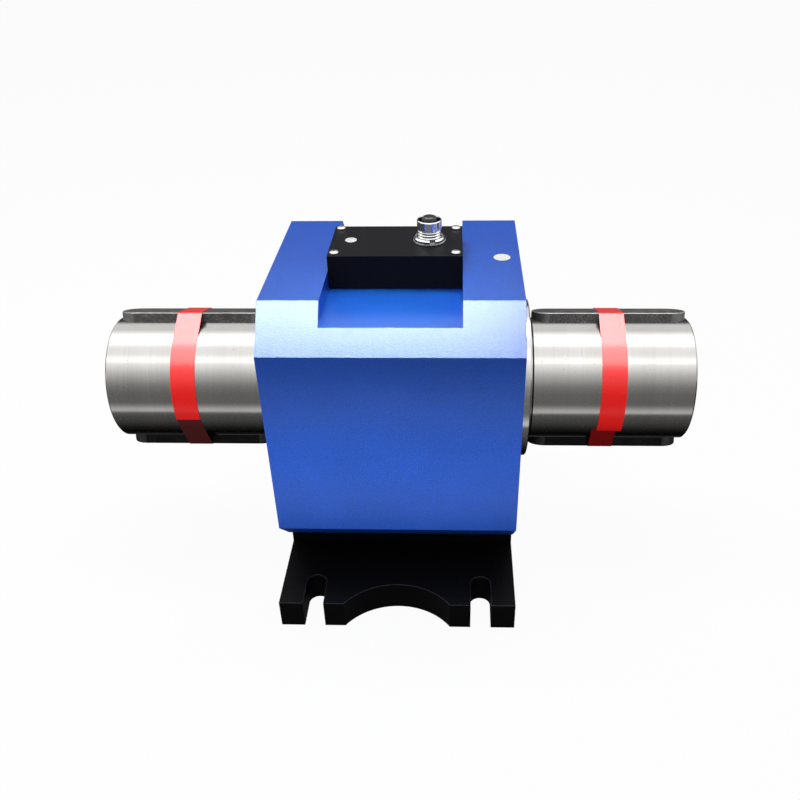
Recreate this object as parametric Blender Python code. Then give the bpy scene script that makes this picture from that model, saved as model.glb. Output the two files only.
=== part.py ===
"""Rotary torque sensor with a keyed shaft, in metres, +Z up.

The origin is the centre of the foot's underside. The shaft lies along X, at axis_height above it. A torque twists
the thin middle of the shaft, strain gauges there measure the twist, and ring coils pass power in and the signal out.
"""

from math import acos, asin, atan2, cos, hypot, pi, radians, sin

import bmesh
import bpy
from mathutils import Matrix, Vector

# Clearance between pieces that touch on the real product, and how far a cutter runs past what it cuts
fit_gap = 0.0003
overrun = 0.010

# Shaft: stepped, with a thin measuring section in the middle
shaft_length = 0.470
shaft_radius = 0.050
shaft_end_chamfer = 0.0012
gauge_section_radius = 0.042
gauge_section_length = 0.052
gauge_section_taper = 0.008
bearing_seat_step = 0.0025
bearing_seat_overhang = 0.0029
shoulder_step = 0.0065

# Feather keys, two at each end
key_width = 0.028
key_height = 0.016
key_protrusion = 0.006
key_end_margin = 0.002
key_cap_margin = 0.0035
key_angle = radians(18.2)

# Tape bands over the keys
tape_width = 0.020
tape_thickness = 0.0003
left_tape_from_end = 0.0627
right_tape_from_end = 0.0663

# Bearings: thin-section ball bearings
bearing_section = 0.020
bearing_width = 0.020
ball_radius = 0.006
ball_count = 10
race_shoulder_drop = 0.004
cage_thickness = 0.004
cage_width = 0.013

# Retaining rings beside the inner races
retaining_ring_width = 0.0025
retaining_ring_height = 0.003
retaining_groove_depth = 0.0016
retaining_ring_opening = radians(30)

# Bearing caps and their seals
cap_wall = 0.0055
cap_flange_height = 0.013
cap_flange_thickness = 0.010
cap_neck_length = 0.0095
cap_neck_chamfer = 0.0008
cap_web_thickness = 0.0095
cap_web_clearance = 0.0005
seal_section = 0.010
seal_width = 0.0115
seal_recess = 0.0006

# Contactless coils and what rides on the measuring section
coil_from_taper = 0.006
coil_to_bearing = 0.010
rotor_coil_length = 0.012
stator_coil_length = 0.015
rotor_coil_thickness = 0.0055
coil_air_gap = 0.002
gauge_length = 0.008
gauge_width = 0.011
gauge_thickness = 0.0004
gauge_x = -0.010
rotor_board_x = 0.013
rotor_board_length = 0.014
rotor_board_thickness = 0.0016
rotor_board_arc = radians(200)

# Housing: an eight-sided aluminium block with a channel across its top
housing_rim = 0.0165
housing_chamfer = 0.0295
channel_depth = 0.0142
lead_passage_radius = 0.008

# Foot: a slotted plate with a raised pedestal
base_length = 0.284
base_thickness = 0.025
pedestal_height = 0.0195
pedestal_length = 0.132
slot_spacing = 0.135
slot_width = 0.0165
slot_length = 0.033
cutout_chord = 0.085
cutout_depth = 0.0225

# Junction box in the channel
box_width = 0.101
box_depth = 0.061
box_height = 0.0262
box_y = 0.0025
box_wall = 0.0045
box_roof = 0.005
box_corner_boss = 0.012
box_screw_inset_x = 0.005
box_screw_inset_y = 0.0055
pillar_radius = 0.0035
pillar_length = 0.0105
pillar_inset_x = 0.010
pillar_inset_y = 0.010
board_thickness = 0.0016
board_margin = 0.004

# Signal connector on the box
connector_inset_x = 0.0253
connector_thread_radius = 0.0090
connector_sleeve_radius = 0.0088
connector_bore_radius = 0.0076
connector_insert_radius = 0.0057
connector_flange_radius = 0.0115
connector_flange_thickness = 0.002
connector_tail_radius = 0.007
connector_thread_top = 0.0100
connector_top = 0.0170
connector_bore_depth = 0.0140
insert_protrusion = 0.0025
nut_radius = 0.0124
nut_height = 0.0038
nut_slot_width = 0.0045
nut_slot_depth = 0.0020
nut_slot_turn = radians(13.5)

# Plug of the adjusting hole, and the sticker
plug_inset_x = 0.0152
plug_head_radius = 0.0045
plug_head_height = 0.0008
plug_stem_radius = 0.0028
sticker_x = 0.081
sticker_y = -0.0026
sticker_radius = 0.0065
sticker_thickness = 0.0003

# Screws: shank radius, head radius, head height
base_screw_radius = 0.005
base_screw_head_radius = 0.008
base_screw_head_height = 0.010
base_screw_grip = 0.016
base_screw_x = 0.070
base_screw_y = 0.045
base_counterbore_depth = 0.012
cap_screw_radius = 0.003
cap_screw_head_radius = 0.005
cap_screw_head_height = 0.006
cap_screw_grip = 0.014
cap_screw_count = 4
cap_counterbore_depth = 0.0063
box_screw_radius = 0.002
box_screw_head_radius = 0.0035
box_screw_head_height = 0.0018
box_screw_grip = 0.010
board_screw_radius = 0.0015
board_screw_head_radius = 0.0028
board_screw_head_height = 0.0016
board_screw_grip = 0.006
thread_end_gap = 0.001

# Leads from the coils to the board
lead_radius = 0.00125
lead_spacing = 0.007
lead_depth_in_chamber = 0.0057
lead_points = 8

# Facets of round surfaces
shaft_facets = 26
cap_facets = 22
race_facets = 22
coil_facets = 16
cage_facets = 20
ball_facets = 6
connector_facets = 16
screw_facets = 8
board_screw_facets = 6
plug_facets = 10
sticker_facets = 12
clip_facets = 12
gauge_facets = 1
board_facets = 10
key_end_facets = 6
slot_facets = 4
cutout_facets = 9
tape_facets = 6
groove_facets = 3

# Radii that follow from the sizes above, from the shaft outwards
bearing_seat_radius = shaft_radius + bearing_seat_step
shoulder_radius = bearing_seat_radius + shoulder_step
ball_pitch_radius = bearing_seat_radius + bearing_section / 2
bearing_outer_radius = bearing_seat_radius + bearing_section
inner_race_radius = ball_pitch_radius - race_shoulder_drop
outer_race_radius = ball_pitch_radius + race_shoulder_drop
retaining_floor = bearing_seat_radius - retaining_groove_depth
retaining_ring_radius = bearing_seat_radius + retaining_ring_height
cap_bore_radius = bearing_outer_radius + fit_gap
cap_web_radius = inner_race_radius + cap_web_clearance
housing_bore_radius = bearing_outer_radius + cap_wall
cap_spigot_radius = housing_bore_radius - fit_gap
cap_flange_radius = housing_bore_radius + cap_flange_height
cap_screw_circle = (housing_bore_radius + cap_flange_radius) / 2
seal_outer_radius = shaft_radius + seal_section
cap_neck_radius = seal_outer_radius + cap_wall
key_top_radius = shaft_radius + key_protrusion
keyseat_floor = key_top_radius - key_height - fit_gap

# Places along the shaft, from the middle outwards
coil_x = gauge_section_length / 2 + gauge_section_taper + coil_from_taper
shoulder_x = coil_x + rotor_coil_length + coil_to_bearing
bearing_start_x = shoulder_x + fit_gap
bearing_end_x = bearing_start_x + bearing_width
bearing_x = (bearing_start_x + bearing_end_x) / 2
retaining_start_x = bearing_end_x + fit_gap
retaining_end_x = retaining_start_x + retaining_ring_width
seat_end_x = retaining_end_x + bearing_seat_overhang
web_start_x = bearing_end_x + fit_gap
web_end_x = web_start_x + cap_web_thickness
seal_start_x = web_end_x + fit_gap
seal_end_x = seal_start_x + seal_width
neck_face_x = seal_end_x + seal_recess
housing_side_x = neck_face_x - cap_neck_length
flange_start_x = housing_side_x - cap_flange_thickness
key_inner_x = neck_face_x + key_cap_margin
shaft_end_x = shaft_length / 2
key_outer_x = shaft_end_x - key_end_margin
key_length = key_outer_x - key_inner_x

# Heights and widths, from the foot upwards
base_width = 2 * housing_side_x
housing_half = cap_flange_radius + housing_rim
housing_bottom = base_thickness + pedestal_height
axis_height = housing_bottom + housing_half
channel_width = box_width + 2 * fit_gap
channel_floor = axis_height + housing_half - channel_depth
box_floor = channel_floor + fit_gap
box_top = channel_floor + box_height
roof_underside = box_top - box_roof
connector_x = box_width / 2 - connector_inset_x
plug_x = plug_inset_x - box_width / 2
cavity_half_width = box_width / 2 - box_wall
cavity_half_depth = box_depth / 2 - box_wall
board_top = roof_underside - pillar_length - fit_gap
board_bottom = board_top - board_thickness


def bore(radius, facets):
    """The corner radius of a faceted hole whose flats lie at this radius."""
    return radius / cos(pi / facets)


def clear_scene():
    for old in list(bpy.data.objects):
        bpy.data.objects.remove(old, do_unlink=True)


def finish(name, colour, roughness, metallic):
    material = bpy.data.materials.new(name)
    material.use_nodes = True
    shader = material.node_tree.nodes["Principled BSDF"]
    shader.inputs["Base Color"].default_value = (*colour, 1.0)
    shader.inputs["Roughness"].default_value = roughness
    shader.inputs["Metallic"].default_value = metallic
    return material


def add_piece(name, bm, look, place=(0, 0, 0), turn=(0, 0, 0), parent=None):
    """Puts a finished bmesh into the scene as one named object."""
    bmesh.ops.remove_doubles(bm, verts=bm.verts, dist=1e-6)
    bmesh.ops.recalc_face_normals(bm, faces=bm.faces)
    mesh = bpy.data.meshes.new(name)
    bm.to_mesh(mesh)
    bm.free()
    mesh.shade_smooth()
    mesh.set_sharp_from_angle(angle=radians(30))
    mesh.materials.append(finish(name, *look))
    piece = bpy.data.objects.new(name, mesh)
    piece.location = place
    piece.rotation_euler = turn
    piece.parent = parent
    bpy.context.collection.objects.link(piece)
    return piece


def add_cutter(name, bm, place=(0, 0, 0), turn=(0, 0, 0), parent=None):
    """A shape that only cuts or joins: it is left out of the finished object."""
    cutter = add_piece(name, bm, GUIDE, place, turn, parent)
    cutter.hide_render = True
    cutter.display_type = "WIRE"
    return cutter


def combine(piece, other, operation):
    change = piece.modifiers.new(other.name, "BOOLEAN")
    change.operation = operation
    change.object = other
    change.solver = "EXACT"


def add_axis(name, place):
    axis = bpy.data.objects.new(name, None)
    axis.location = place
    bpy.context.collection.objects.link(axis)
    return axis


def turned(profile, facets, sweep=2 * pi, start=0.0, is_ring=True):
    """Turns a profile of (x, radius) points about the X axis.

    A ring's profile is a closed loop. Any other profile stops at its two flat ends, which are filled.
    """
    bm = bmesh.new()
    corners = [bm.verts.new((x, 0.0, radius)) for x, radius in profile]
    edges = [bm.edges.new(pair) for pair in zip(corners, corners[1:])]
    if is_ring:
        edges.append(bm.edges.new((corners[-1], corners[0])))
    is_full = abs(sweep - 2 * pi) < 1e-9
    if not is_full:
        bm.faces.new(corners)
    bmesh.ops.rotate(bm, verts=bm.verts, cent=(0, 0, 0), matrix=Matrix.Rotation(start, 3, "X"))
    geometry = edges if is_full else bm.faces[:] + bm.edges[:]
    bmesh.ops.spin(
        bm, geom=geometry, cent=(0, 0, 0), axis=(1, 0, 0), angle=sweep, steps=facets, use_merge=is_full
    )
    if not is_ring:
        bmesh.ops.holes_fill(bm, edges=bm.edges)
    return bm


def upright(bm, downwards=False):
    """Turns a bmesh made along +X so that it points along +Z, or along -Z."""
    angle = pi / 2 if downwards else -pi / 2
    bmesh.ops.rotate(bm, verts=bm.verts, cent=(0, 0, 0), matrix=Matrix.Rotation(angle, 3, "Y"))
    return bm


def prism(outline, low, high):
    """Extrudes an outline of (x, y) points from z = low to z = high."""
    bm = bmesh.new()
    face = bm.faces.new([bm.verts.new((x, y, low)) for x, y in outline])
    extruded = bmesh.ops.extrude_face_region(bm, geom=[face])
    top = [item for item in extruded["geom"] if isinstance(item, bmesh.types.BMVert)]
    bmesh.ops.translate(bm, verts=top, vec=(0, 0, high - low))
    return bm


def rectangle(x_low, y_low, x_high, y_high):
    return [(x_low, y_low), (x_high, y_low), (x_high, y_high), (x_low, y_high)]


def cut_corners(half_width, half_depth, cut):
    """A rectangle about the origin with its four corners cut off."""
    inner_x, inner_y = half_width - cut, half_depth - cut
    return [
        (-inner_x, -half_depth), (inner_x, -half_depth), (half_width, -inner_y), (half_width, inner_y),
        (inner_x, half_depth), (-inner_x, half_depth), (-half_width, inner_y), (-half_width, -inner_y),
    ]


def merge_shapes(shapes):
    """Puts several bmeshes that stand clear of each other into one."""
    merged = bmesh.new()
    for shape in shapes:
        scrap = bpy.data.meshes.new("scrap")
        shape.to_mesh(scrap)
        shape.free()
        merged.from_mesh(scrap)
        bpy.data.meshes.remove(scrap)
    return merged


def rod(radius, low, high, x=0.0, y=0.0, facets=screw_facets):
    """An upright rod from z = low to z = high."""
    bm = upright(turned([(low, radius), (high, radius)], facets, is_ring=False))
    bmesh.ops.translate(bm, verts=bm.verts, vec=(x, y, 0))
    return bm


def four_corners(x, y, y_centre=0.0):
    return [(side_x * x, y_centre + side_y * y) for side_y in (-1, 1) for side_x in (-1, 1)]


def screw(shank_radius, head_radius, head_height, length, facets=screw_facets):
    """A screw along -X: its head's underside is at x = 0 and its shank reaches x = -length."""
    profile = [
        (-length, shank_radius), (0, shank_radius), (0, head_radius), (head_height, head_radius),
    ]
    return turned(profile, facets, is_ring=False)


BLUE = ((0.03, 0.12, 0.55), 0.42, 0.6)
BLACK = ((0.012, 0.012, 0.014), 0.45, 0.2)
TURNED_STEEL = ((0.55, 0.54, 0.52), 0.28, 1.0)
POLISHED_STEEL = ((0.68, 0.68, 0.68), 0.18, 1.0)
KEY_STEEL = ((0.10, 0.10, 0.10), 0.55, 0.8)
RED_TAPE = ((0.85, 0.02, 0.01), 0.40, 0.0)
CHROME = ((0.80, 0.80, 0.80), 0.12, 1.0)
SCREW_STEEL = ((0.60, 0.60, 0.58), 0.30, 1.0)
WHITE_PLASTIC = ((0.85, 0.85, 0.83), 0.45, 0.0)
BLACK_PLASTIC = ((0.02, 0.02, 0.02), 0.40, 0.0)
SEAL_RUBBER = ((0.015, 0.015, 0.015), 0.80, 0.0)
BEARING_STEEL = ((0.62, 0.62, 0.64), 0.15, 1.0)
CAGE_BRASS = ((0.60, 0.42, 0.12), 0.30, 1.0)
COIL_COPPER = ((0.55, 0.22, 0.08), 0.35, 1.0)
BOARD_GREEN = ((0.02, 0.20, 0.06), 0.50, 0.0)
GAUGE_FOIL = ((0.70, 0.45, 0.10), 0.40, 0.5)
GUIDE = ((0.5, 0.5, 0.5), 0.5, 0.0)


def build_housing():
    """One block: the eight-sided prism lies along X, its bore and cap recesses run through it."""
    bm = prism(cut_corners(housing_half, housing_half, housing_chamfer), -housing_side_x, housing_side_x)
    bmesh.ops.rotate(bm, verts=bm.verts, cent=(0, 0, 0), matrix=Matrix.Rotation(pi / 2, 3, "Y"))
    housing = add_piece("housing", bm, BLUE, place=(0, 0, axis_height))

    recess = bore(cap_flange_radius + fit_gap, cap_facets)
    recess_floor_x = flange_start_x - fit_gap
    open_x = housing_side_x + overrun
    chamber = bore(housing_bore_radius, cap_facets)
    profile = [
        (-open_x, recess), (-recess_floor_x, recess), (-recess_floor_x, chamber),
        (recess_floor_x, chamber), (recess_floor_x, recess), (open_x, recess),
    ]
    combine(housing, add_cutter("housing_bore", turned(profile, cap_facets, is_ring=False),
                                place=(0, 0, axis_height)), "DIFFERENCE")

    half = channel_width / 2
    reach = housing_half + overrun
    channel = prism(rectangle(-half, -reach, half, reach), channel_floor, axis_height + reach)
    combine(housing, add_cutter("housing_channel", channel), "DIFFERENCE")

    box_hole = bore(box_screw_radius + fit_gap, screw_facets)
    box_hole_floor = box_floor - box_screw_grip - thread_end_gap
    shapes = [rod(box_hole, box_hole_floor, channel_floor + overrun, x, y) for x, y in box_screw_places()]
    base_hole = bore(base_screw_radius + fit_gap, screw_facets)
    base_hole_top = housing_bottom + base_screw_grip + thread_end_gap
    shapes += [rod(base_hole, housing_bottom - overrun, base_hole_top, x, y)
               for x, y in four_corners(base_screw_x, base_screw_y)]
    passage_bottom = axis_height + housing_bore_radius - overrun
    shapes.append(rod(bore(lead_passage_radius, screw_facets), passage_bottom, channel_floor + overrun))
    combine(housing, add_cutter("housing_upright_holes", merge_shapes(shapes)), "DIFFERENCE")

    cap_hole = bore(cap_screw_radius + fit_gap, screw_facets)
    hole_floor_x = flange_start_x - cap_screw_grip - thread_end_gap
    shapes = []
    for side in (-1, 1):
        for turn in cap_screw_turns():
            hole = [(side * hole_floor_x, cap_hole), (side * open_x, cap_hole)]
            shape = turned(hole, screw_facets, is_ring=False)
            bmesh.ops.translate(shape, verts=shape.verts, vec=cap_screw_offset(turn))
            shapes.append(shape)
    combine(housing, add_cutter("housing_cap_holes", merge_shapes(shapes), place=(0, 0, axis_height)),
            "DIFFERENCE")


def slot_outline(x, edge_y, inwards):
    """The points of one U slot, open at the plate's edge, walked from low x to high x."""
    radius = slot_width / 2
    centre_y = edge_y + inwards * (slot_length - radius)
    arc = [pi - pi * step / slot_facets for step in range(slot_facets + 1)]
    curve = [(x + radius * cos(turn), centre_y + inwards * radius * sin(turn)) for turn in arc]
    return [(x - radius, edge_y)] + curve + [(x + radius, edge_y)]


def cutout_outline(edge_y, inwards):
    """The points of the round cut-out between the slots, walked from low x to high x."""
    half = cutout_chord / 2
    radius = (half ** 2 + cutout_depth ** 2) / (2 * cutout_depth)
    centre_y = edge_y + inwards * (cutout_depth - radius)
    spread = asin(half / radius)
    turns = [-spread + 2 * spread * step / cutout_facets for step in range(cutout_facets + 1)]
    return [(radius * sin(turn), centre_y + inwards * radius * cos(turn)) for turn in turns]


def build_base():
    """One foot: the slotted plate is extruded, and its middle strip rises as the pedestal."""
    half_width, half_length = base_width / 2, base_length / 2
    front = [(-half_width, -half_length)]
    front += slot_outline(-slot_spacing / 2, -half_length, 1)
    front += cutout_outline(-half_length, 1)
    front += slot_outline(slot_spacing / 2, -half_length, 1)
    front += [(half_width, -half_length)]
    back = [(-x, -y) for x, y in front]
    bm = prism(front + back, 0.0, base_thickness)
    for y in (-pedestal_length / 2, pedestal_length / 2):
        everything = bm.verts[:] + bm.edges[:] + bm.faces[:]
        bmesh.ops.bisect_plane(bm, geom=everything, plane_co=(0, y, 0), plane_no=(0, 1, 0))
    middle = [face for face in bm.faces
              if face.normal.z ** 2 > 0.5 and abs(face.calc_center_median().y) < pedestal_length / 2
              and face.calc_center_median().z > base_thickness / 2]
    raised = bmesh.ops.extrude_face_region(bm, geom=middle)
    top = [item for item in raised["geom"] if isinstance(item, bmesh.types.BMVert)]
    bmesh.ops.translate(bm, verts=top, vec=(0, 0, housing_bottom - fit_gap - base_thickness))
    bmesh.ops.delete(bm, geom=middle, context="FACES_ONLY")
    base = add_piece("base", bm, BLACK)

    counterbore = bore(base_screw_head_radius + fit_gap, screw_facets)
    hole = bore(base_screw_radius + fit_gap, screw_facets)
    shapes = []
    for x, y in four_corners(base_screw_x, base_screw_y):
        profile = [(-overrun, counterbore), (base_counterbore_depth, counterbore),
                   (base_counterbore_depth, hole), (housing_bottom + overrun, hole)]
        shape = upright(turned(profile, screw_facets, is_ring=False))
        bmesh.ops.translate(shape, verts=shape.verts, vec=(x, y, 0))
        shapes.append(shape)
    combine(base, add_cutter("base_holes", merge_shapes(shapes)), "DIFFERENCE")

    length = housing_bottom + base_screw_grip - base_counterbore_depth + fit_gap
    for number, (x, y) in enumerate(four_corners(base_screw_x, base_screw_y), start=1):
        bm = upright(screw(base_screw_radius, base_screw_head_radius, base_screw_head_height, length),
                     downwards=True)
        add_piece(f"base_screw_{number}", bm, SCREW_STEEL, place=(x, y, base_counterbore_depth - fit_gap))


def cap_screw_turns():
    return [pi / cap_screw_count + 2 * pi * step / cap_screw_count for step in range(cap_screw_count)]


def cap_screw_offset(turn):
    return (0.0, cap_screw_circle * sin(turn), cap_screw_circle * cos(turn))


def build_bearing_cap(side_name, side):
    """A turned cap: spigot in the housing's bore, flange in its recess, neck round the shaft."""
    bearing_bore = bore(cap_bore_radius, cap_facets)
    web = bore(cap_web_radius, cap_facets)
    seal_bore = bore(seal_outer_radius, cap_facets)
    spigot = bore(cap_spigot_radius, cap_facets)
    flange = bore(cap_flange_radius, cap_facets)
    profile = [
        (shoulder_x, bearing_bore), (shoulder_x, spigot), (flange_start_x, spigot),
        (flange_start_x, flange), (housing_side_x, flange),
        (housing_side_x, cap_neck_radius), (neck_face_x - cap_neck_chamfer, cap_neck_radius),
        (neck_face_x, cap_neck_radius - cap_neck_chamfer), (neck_face_x, seal_bore), (web_end_x, seal_bore),
        (web_end_x, web), (web_start_x, web), (web_start_x, bearing_bore),
    ]
    centre = (0, 0, axis_height)
    cap = add_piece(f"{side_name}_bearing_cap", turned([(side * x, r) for x, r in profile], cap_facets),
                    POLISHED_STEEL, place=centre)

    hole = bore(cap_screw_radius + fit_gap, screw_facets)
    counterbore = bore(cap_screw_head_radius + fit_gap, screw_facets)
    seat_x = housing_side_x - cap_counterbore_depth
    shapes = []
    for turn in cap_screw_turns():
        hole_profile = [
            (flange_start_x - overrun, hole), (seat_x, hole),
            (seat_x, counterbore), (housing_side_x + overrun, counterbore),
        ]
        shape = turned([(side * x, r) for x, r in hole_profile], screw_facets, is_ring=False)
        bmesh.ops.translate(shape, verts=shape.verts, vec=cap_screw_offset(turn))
        shapes.append(shape)
    combine(cap, add_cutter(f"{side_name}_cap_holes", merge_shapes(shapes), place=centre), "DIFFERENCE")

    length = seat_x + fit_gap - flange_start_x + cap_screw_grip
    for number, turn in enumerate(cap_screw_turns(), start=1):
        bm = screw(cap_screw_radius, cap_screw_head_radius, cap_screw_head_height, length)
        if side < 0:
            bmesh.ops.rotate(bm, verts=bm.verts, cent=(0, 0, 0), matrix=Matrix.Rotation(pi, 3, "Z"))
        place = Vector(centre) + Vector(cap_screw_offset(turn)) + Vector((side * (seat_x + fit_gap), 0, 0))
        add_piece(f"{side_name}_cap_screw_{number}", bm, SCREW_STEEL, place=place)

    seal = bore(seal_outer_radius - fit_gap, cap_facets)
    lip = bore(shaft_radius + fit_gap, cap_facets)
    lip_edge = seal_end_x - seal_width / 4
    seal_profile = [(seal_start_x, seal), (seal_end_x, seal), (lip_edge, lip), (seal_start_x, lip)]
    add_piece(f"{side_name}_shaft_seal", turned([(side * x, r) for x, r in seal_profile], cap_facets),
              SEAL_RUBBER, place=centre)


def groove_points(shoulder, outwards):
    """The ball groove of a race as (x, radius) points, from low x to high x, its flats clear of the balls."""
    clear = ball_radius + fit_gap
    start = asin(abs(shoulder - ball_pitch_radius) / clear)
    step = (pi - 2 * start) / groove_facets
    corner = clear / cos(step / 2)
    inner = [(bearing_x - corner * cos(start + step * number),
              ball_pitch_radius + outwards * corner * sin(start + step * number))
             for number in range(1, groove_facets)]
    edge = corner * cos(start)
    return [(bearing_x - edge, shoulder)] + inner + [(bearing_x + edge, shoulder)]


def build_bearing(side_name, side, shaft_axis, cage_axis):
    """Outer race in the cap, inner race on the shaft, and between them a cage whose balls are one solid with it."""
    profile = [(bearing_start_x, bearing_outer_radius), (bearing_start_x, outer_race_radius)]
    profile += groove_points(outer_race_radius, 1)
    profile += [(bearing_end_x, outer_race_radius), (bearing_end_x, bearing_outer_radius)]
    profile = [(side * x, bore(r, cap_facets)) for x, r in profile]
    add_piece(f"{side_name}_outer_ring", turned(profile, cap_facets), BEARING_STEEL, place=(0, 0, axis_height))

    seat = bore(bearing_seat_radius + fit_gap, race_facets)
    profile = [(bearing_start_x, seat), (bearing_start_x, inner_race_radius)]
    profile += groove_points(inner_race_radius, -1)
    profile += [(bearing_end_x, inner_race_radius), (bearing_end_x, seat)]
    add_piece(f"{side_name}_inner_ring", turned([(side * x, r) for x, r in profile], race_facets),
              BEARING_STEEL, parent=shaft_axis)

    inside = bore(ball_pitch_radius - cage_thickness / 2, cage_facets)
    outside = bore(ball_pitch_radius + cage_thickness / 2, cage_facets)
    low, high = -cage_width / 2, cage_width / 2
    ring = turned([(low, inside), (low, outside), (high, outside), (high, inside)], cage_facets)
    cage = add_piece(f"{side_name}_ball_cage", ring, CAGE_BRASS, parent=cage_axis)
    balls = []
    for number in range(ball_count):
        ball = bmesh.new()
        bmesh.ops.create_uvsphere(ball, u_segments=ball_facets, v_segments=ball_facets - 2, radius=ball_radius)
        turn = 2 * pi * number / ball_count + pi / cage_facets
        bmesh.ops.translate(ball, verts=ball.verts, vec=(0, 0, ball_pitch_radius))
        bmesh.ops.rotate(ball, verts=ball.verts, cent=(0, 0, 0), matrix=Matrix.Rotation(turn, 3, "X"))
        balls.append(ball)
    combine(cage, add_cutter(f"{side_name}_balls", merge_shapes(balls), parent=cage_axis), "UNION")

    sweep = 2 * pi - retaining_ring_opening
    inside = (retaining_floor + fit_gap) / cos(sweep / clip_facets / 2)
    clip_profile = [(retaining_start_x, inside), (retaining_start_x, retaining_ring_radius),
                    (retaining_end_x, retaining_ring_radius), (retaining_end_x, inside)]
    clip = turned([(side * x, r) for x, r in clip_profile], clip_facets, sweep, retaining_ring_opening / 2)
    add_piece(f"{side_name}_retaining_ring", clip, SCREW_STEEL, parent=shaft_axis)


def shaft_profile():
    """One half of the shaft's outline, from the middle outwards, as (x, radius) points."""
    section_end = gauge_section_length / 2
    return [
        (section_end, gauge_section_radius), (section_end + gauge_section_taper, shoulder_radius),
        (shoulder_x, shoulder_radius), (shoulder_x, bearing_seat_radius),
        (bearing_end_x, bearing_seat_radius), (bearing_end_x, retaining_floor),
        (retaining_end_x + fit_gap, retaining_floor), (retaining_end_x + fit_gap, bearing_seat_radius),
        (seat_end_x, bearing_seat_radius), (seat_end_x, shaft_radius),
        (shaft_end_x - shaft_end_chamfer, shaft_radius), (shaft_end_x, shaft_radius - shaft_end_chamfer),
    ]


def key_outline(grow):
    """A feather key seen from above, both ends round, made larger all round by grow."""
    radius = key_width / 2 + grow
    straight = key_length / 2 - key_width / 2
    half_turn = [-pi / 2 + pi * step / key_end_facets for step in range(key_end_facets + 1)]
    right = [(straight + radius * cos(turn), radius * sin(turn)) for turn in half_turn]
    return right + [(-x, -y) for x, y in right]


def build_shaft(shaft_axis):
    half = shaft_profile()
    profile = [(-x, r) for x, r in reversed(half)] + half
    shaft = add_piece("torsion_shaft", turned(profile, shaft_facets, is_ring=False), TURNED_STEEL,
                      parent=shaft_axis)
    key_x = (key_inner_x + key_outer_x) / 2
    for side_name, side in (("left", -1), ("right", 1)):
        for level, turn in (("upper", -key_angle), ("lower", pi - key_angle)):
            place = (side * key_x, 0, 0)
            seat = prism(key_outline(fit_gap), keyseat_floor, key_top_radius + key_height)
            combine(shaft, add_cutter(f"{side_name}_{level}_keyseat", seat, place, (turn, 0, 0), shaft_axis),
                    "DIFFERENCE")
            key = prism(key_outline(0.0), keyseat_floor + fit_gap, key_top_radius)
            add_piece(f"{side_name}_{level}_key", key, KEY_STEEL, place, (turn, 0, 0), shaft_axis)


def tape_outline(grow):
    """The tight loop of tape round the shaft and both keys, as (y, z) points, seen with the keys upright."""
    radius = shaft_radius + grow
    corner_y, corner_z = key_width / 2 + grow, key_top_radius + grow
    reach = hypot(corner_y, corner_z)
    touch = atan2(corner_y, corner_z) + acos(radius / reach)
    turns = [touch + (pi - 2 * touch) * step / tape_facets for step in range(tape_facets + 1)]
    corner = radius / cos((pi - 2 * touch) / tape_facets / 2)
    arc = [(corner * sin(turn), corner * cos(turn)) for turn in turns]
    right = [(corner_y, corner_z)] + arc + [(corner_y, -corner_z)]
    return right + [(-y, -z) for y, z in right]


def build_tape(name, x, shaft_axis):
    """A band whose inner loop lies on shaft and keys. It goes straight from each key's edge to the shaft."""
    inner = tape_outline(fit_gap)
    outer = tape_outline(fit_gap + tape_thickness)
    bm = bmesh.new()
    loops = []
    for outline in (inner, outer):
        verts = [bm.verts.new((-tape_width / 2, y, z)) for y, z in outline]
        loops.append([bm.edges.new(pair) for pair in zip(verts, verts[1:] + verts[:1])])
    band = bmesh.ops.bridge_loops(bm, edges=loops[0] + loops[1])
    raised = bmesh.ops.extrude_face_region(bm, geom=band["faces"])
    moved = [item for item in raised["geom"] if isinstance(item, bmesh.types.BMVert)]
    bmesh.ops.translate(bm, verts=moved, vec=(tape_width, 0, 0))
    add_piece(name, bm, RED_TAPE, (x, 0, 0), (-key_angle, 0, 0), shaft_axis)


def build_coils(side_name, side, shaft_axis):
    """A coil ring on the shaft's shoulder turns inside a fixed coil ring in the housing's bore."""
    inside = bore(shoulder_radius + fit_gap, coil_facets)
    outside = inside + rotor_coil_thickness
    profile = [(coil_x, inside), (coil_x, outside), (coil_x + rotor_coil_length, outside),
               (coil_x + rotor_coil_length, inside)]
    add_piece(f"{side_name}_rotor_coil", turned([(side * x, r) for x, r in profile], coil_facets), COIL_COPPER,
              parent=shaft_axis)
    start = coil_x - (stator_coil_length - rotor_coil_length) / 2
    inside = bore(outside + coil_air_gap, cap_facets)
    outside = bore(housing_bore_radius - fit_gap, cap_facets)
    profile = [(start, inside), (start, outside), (start + stator_coil_length, outside),
               (start + stator_coil_length, inside)]
    add_piece(f"{side_name}_stator_coil", turned([(side * x, r) for x, r in profile], cap_facets), COIL_COPPER,
              place=(0, 0, axis_height))


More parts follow.
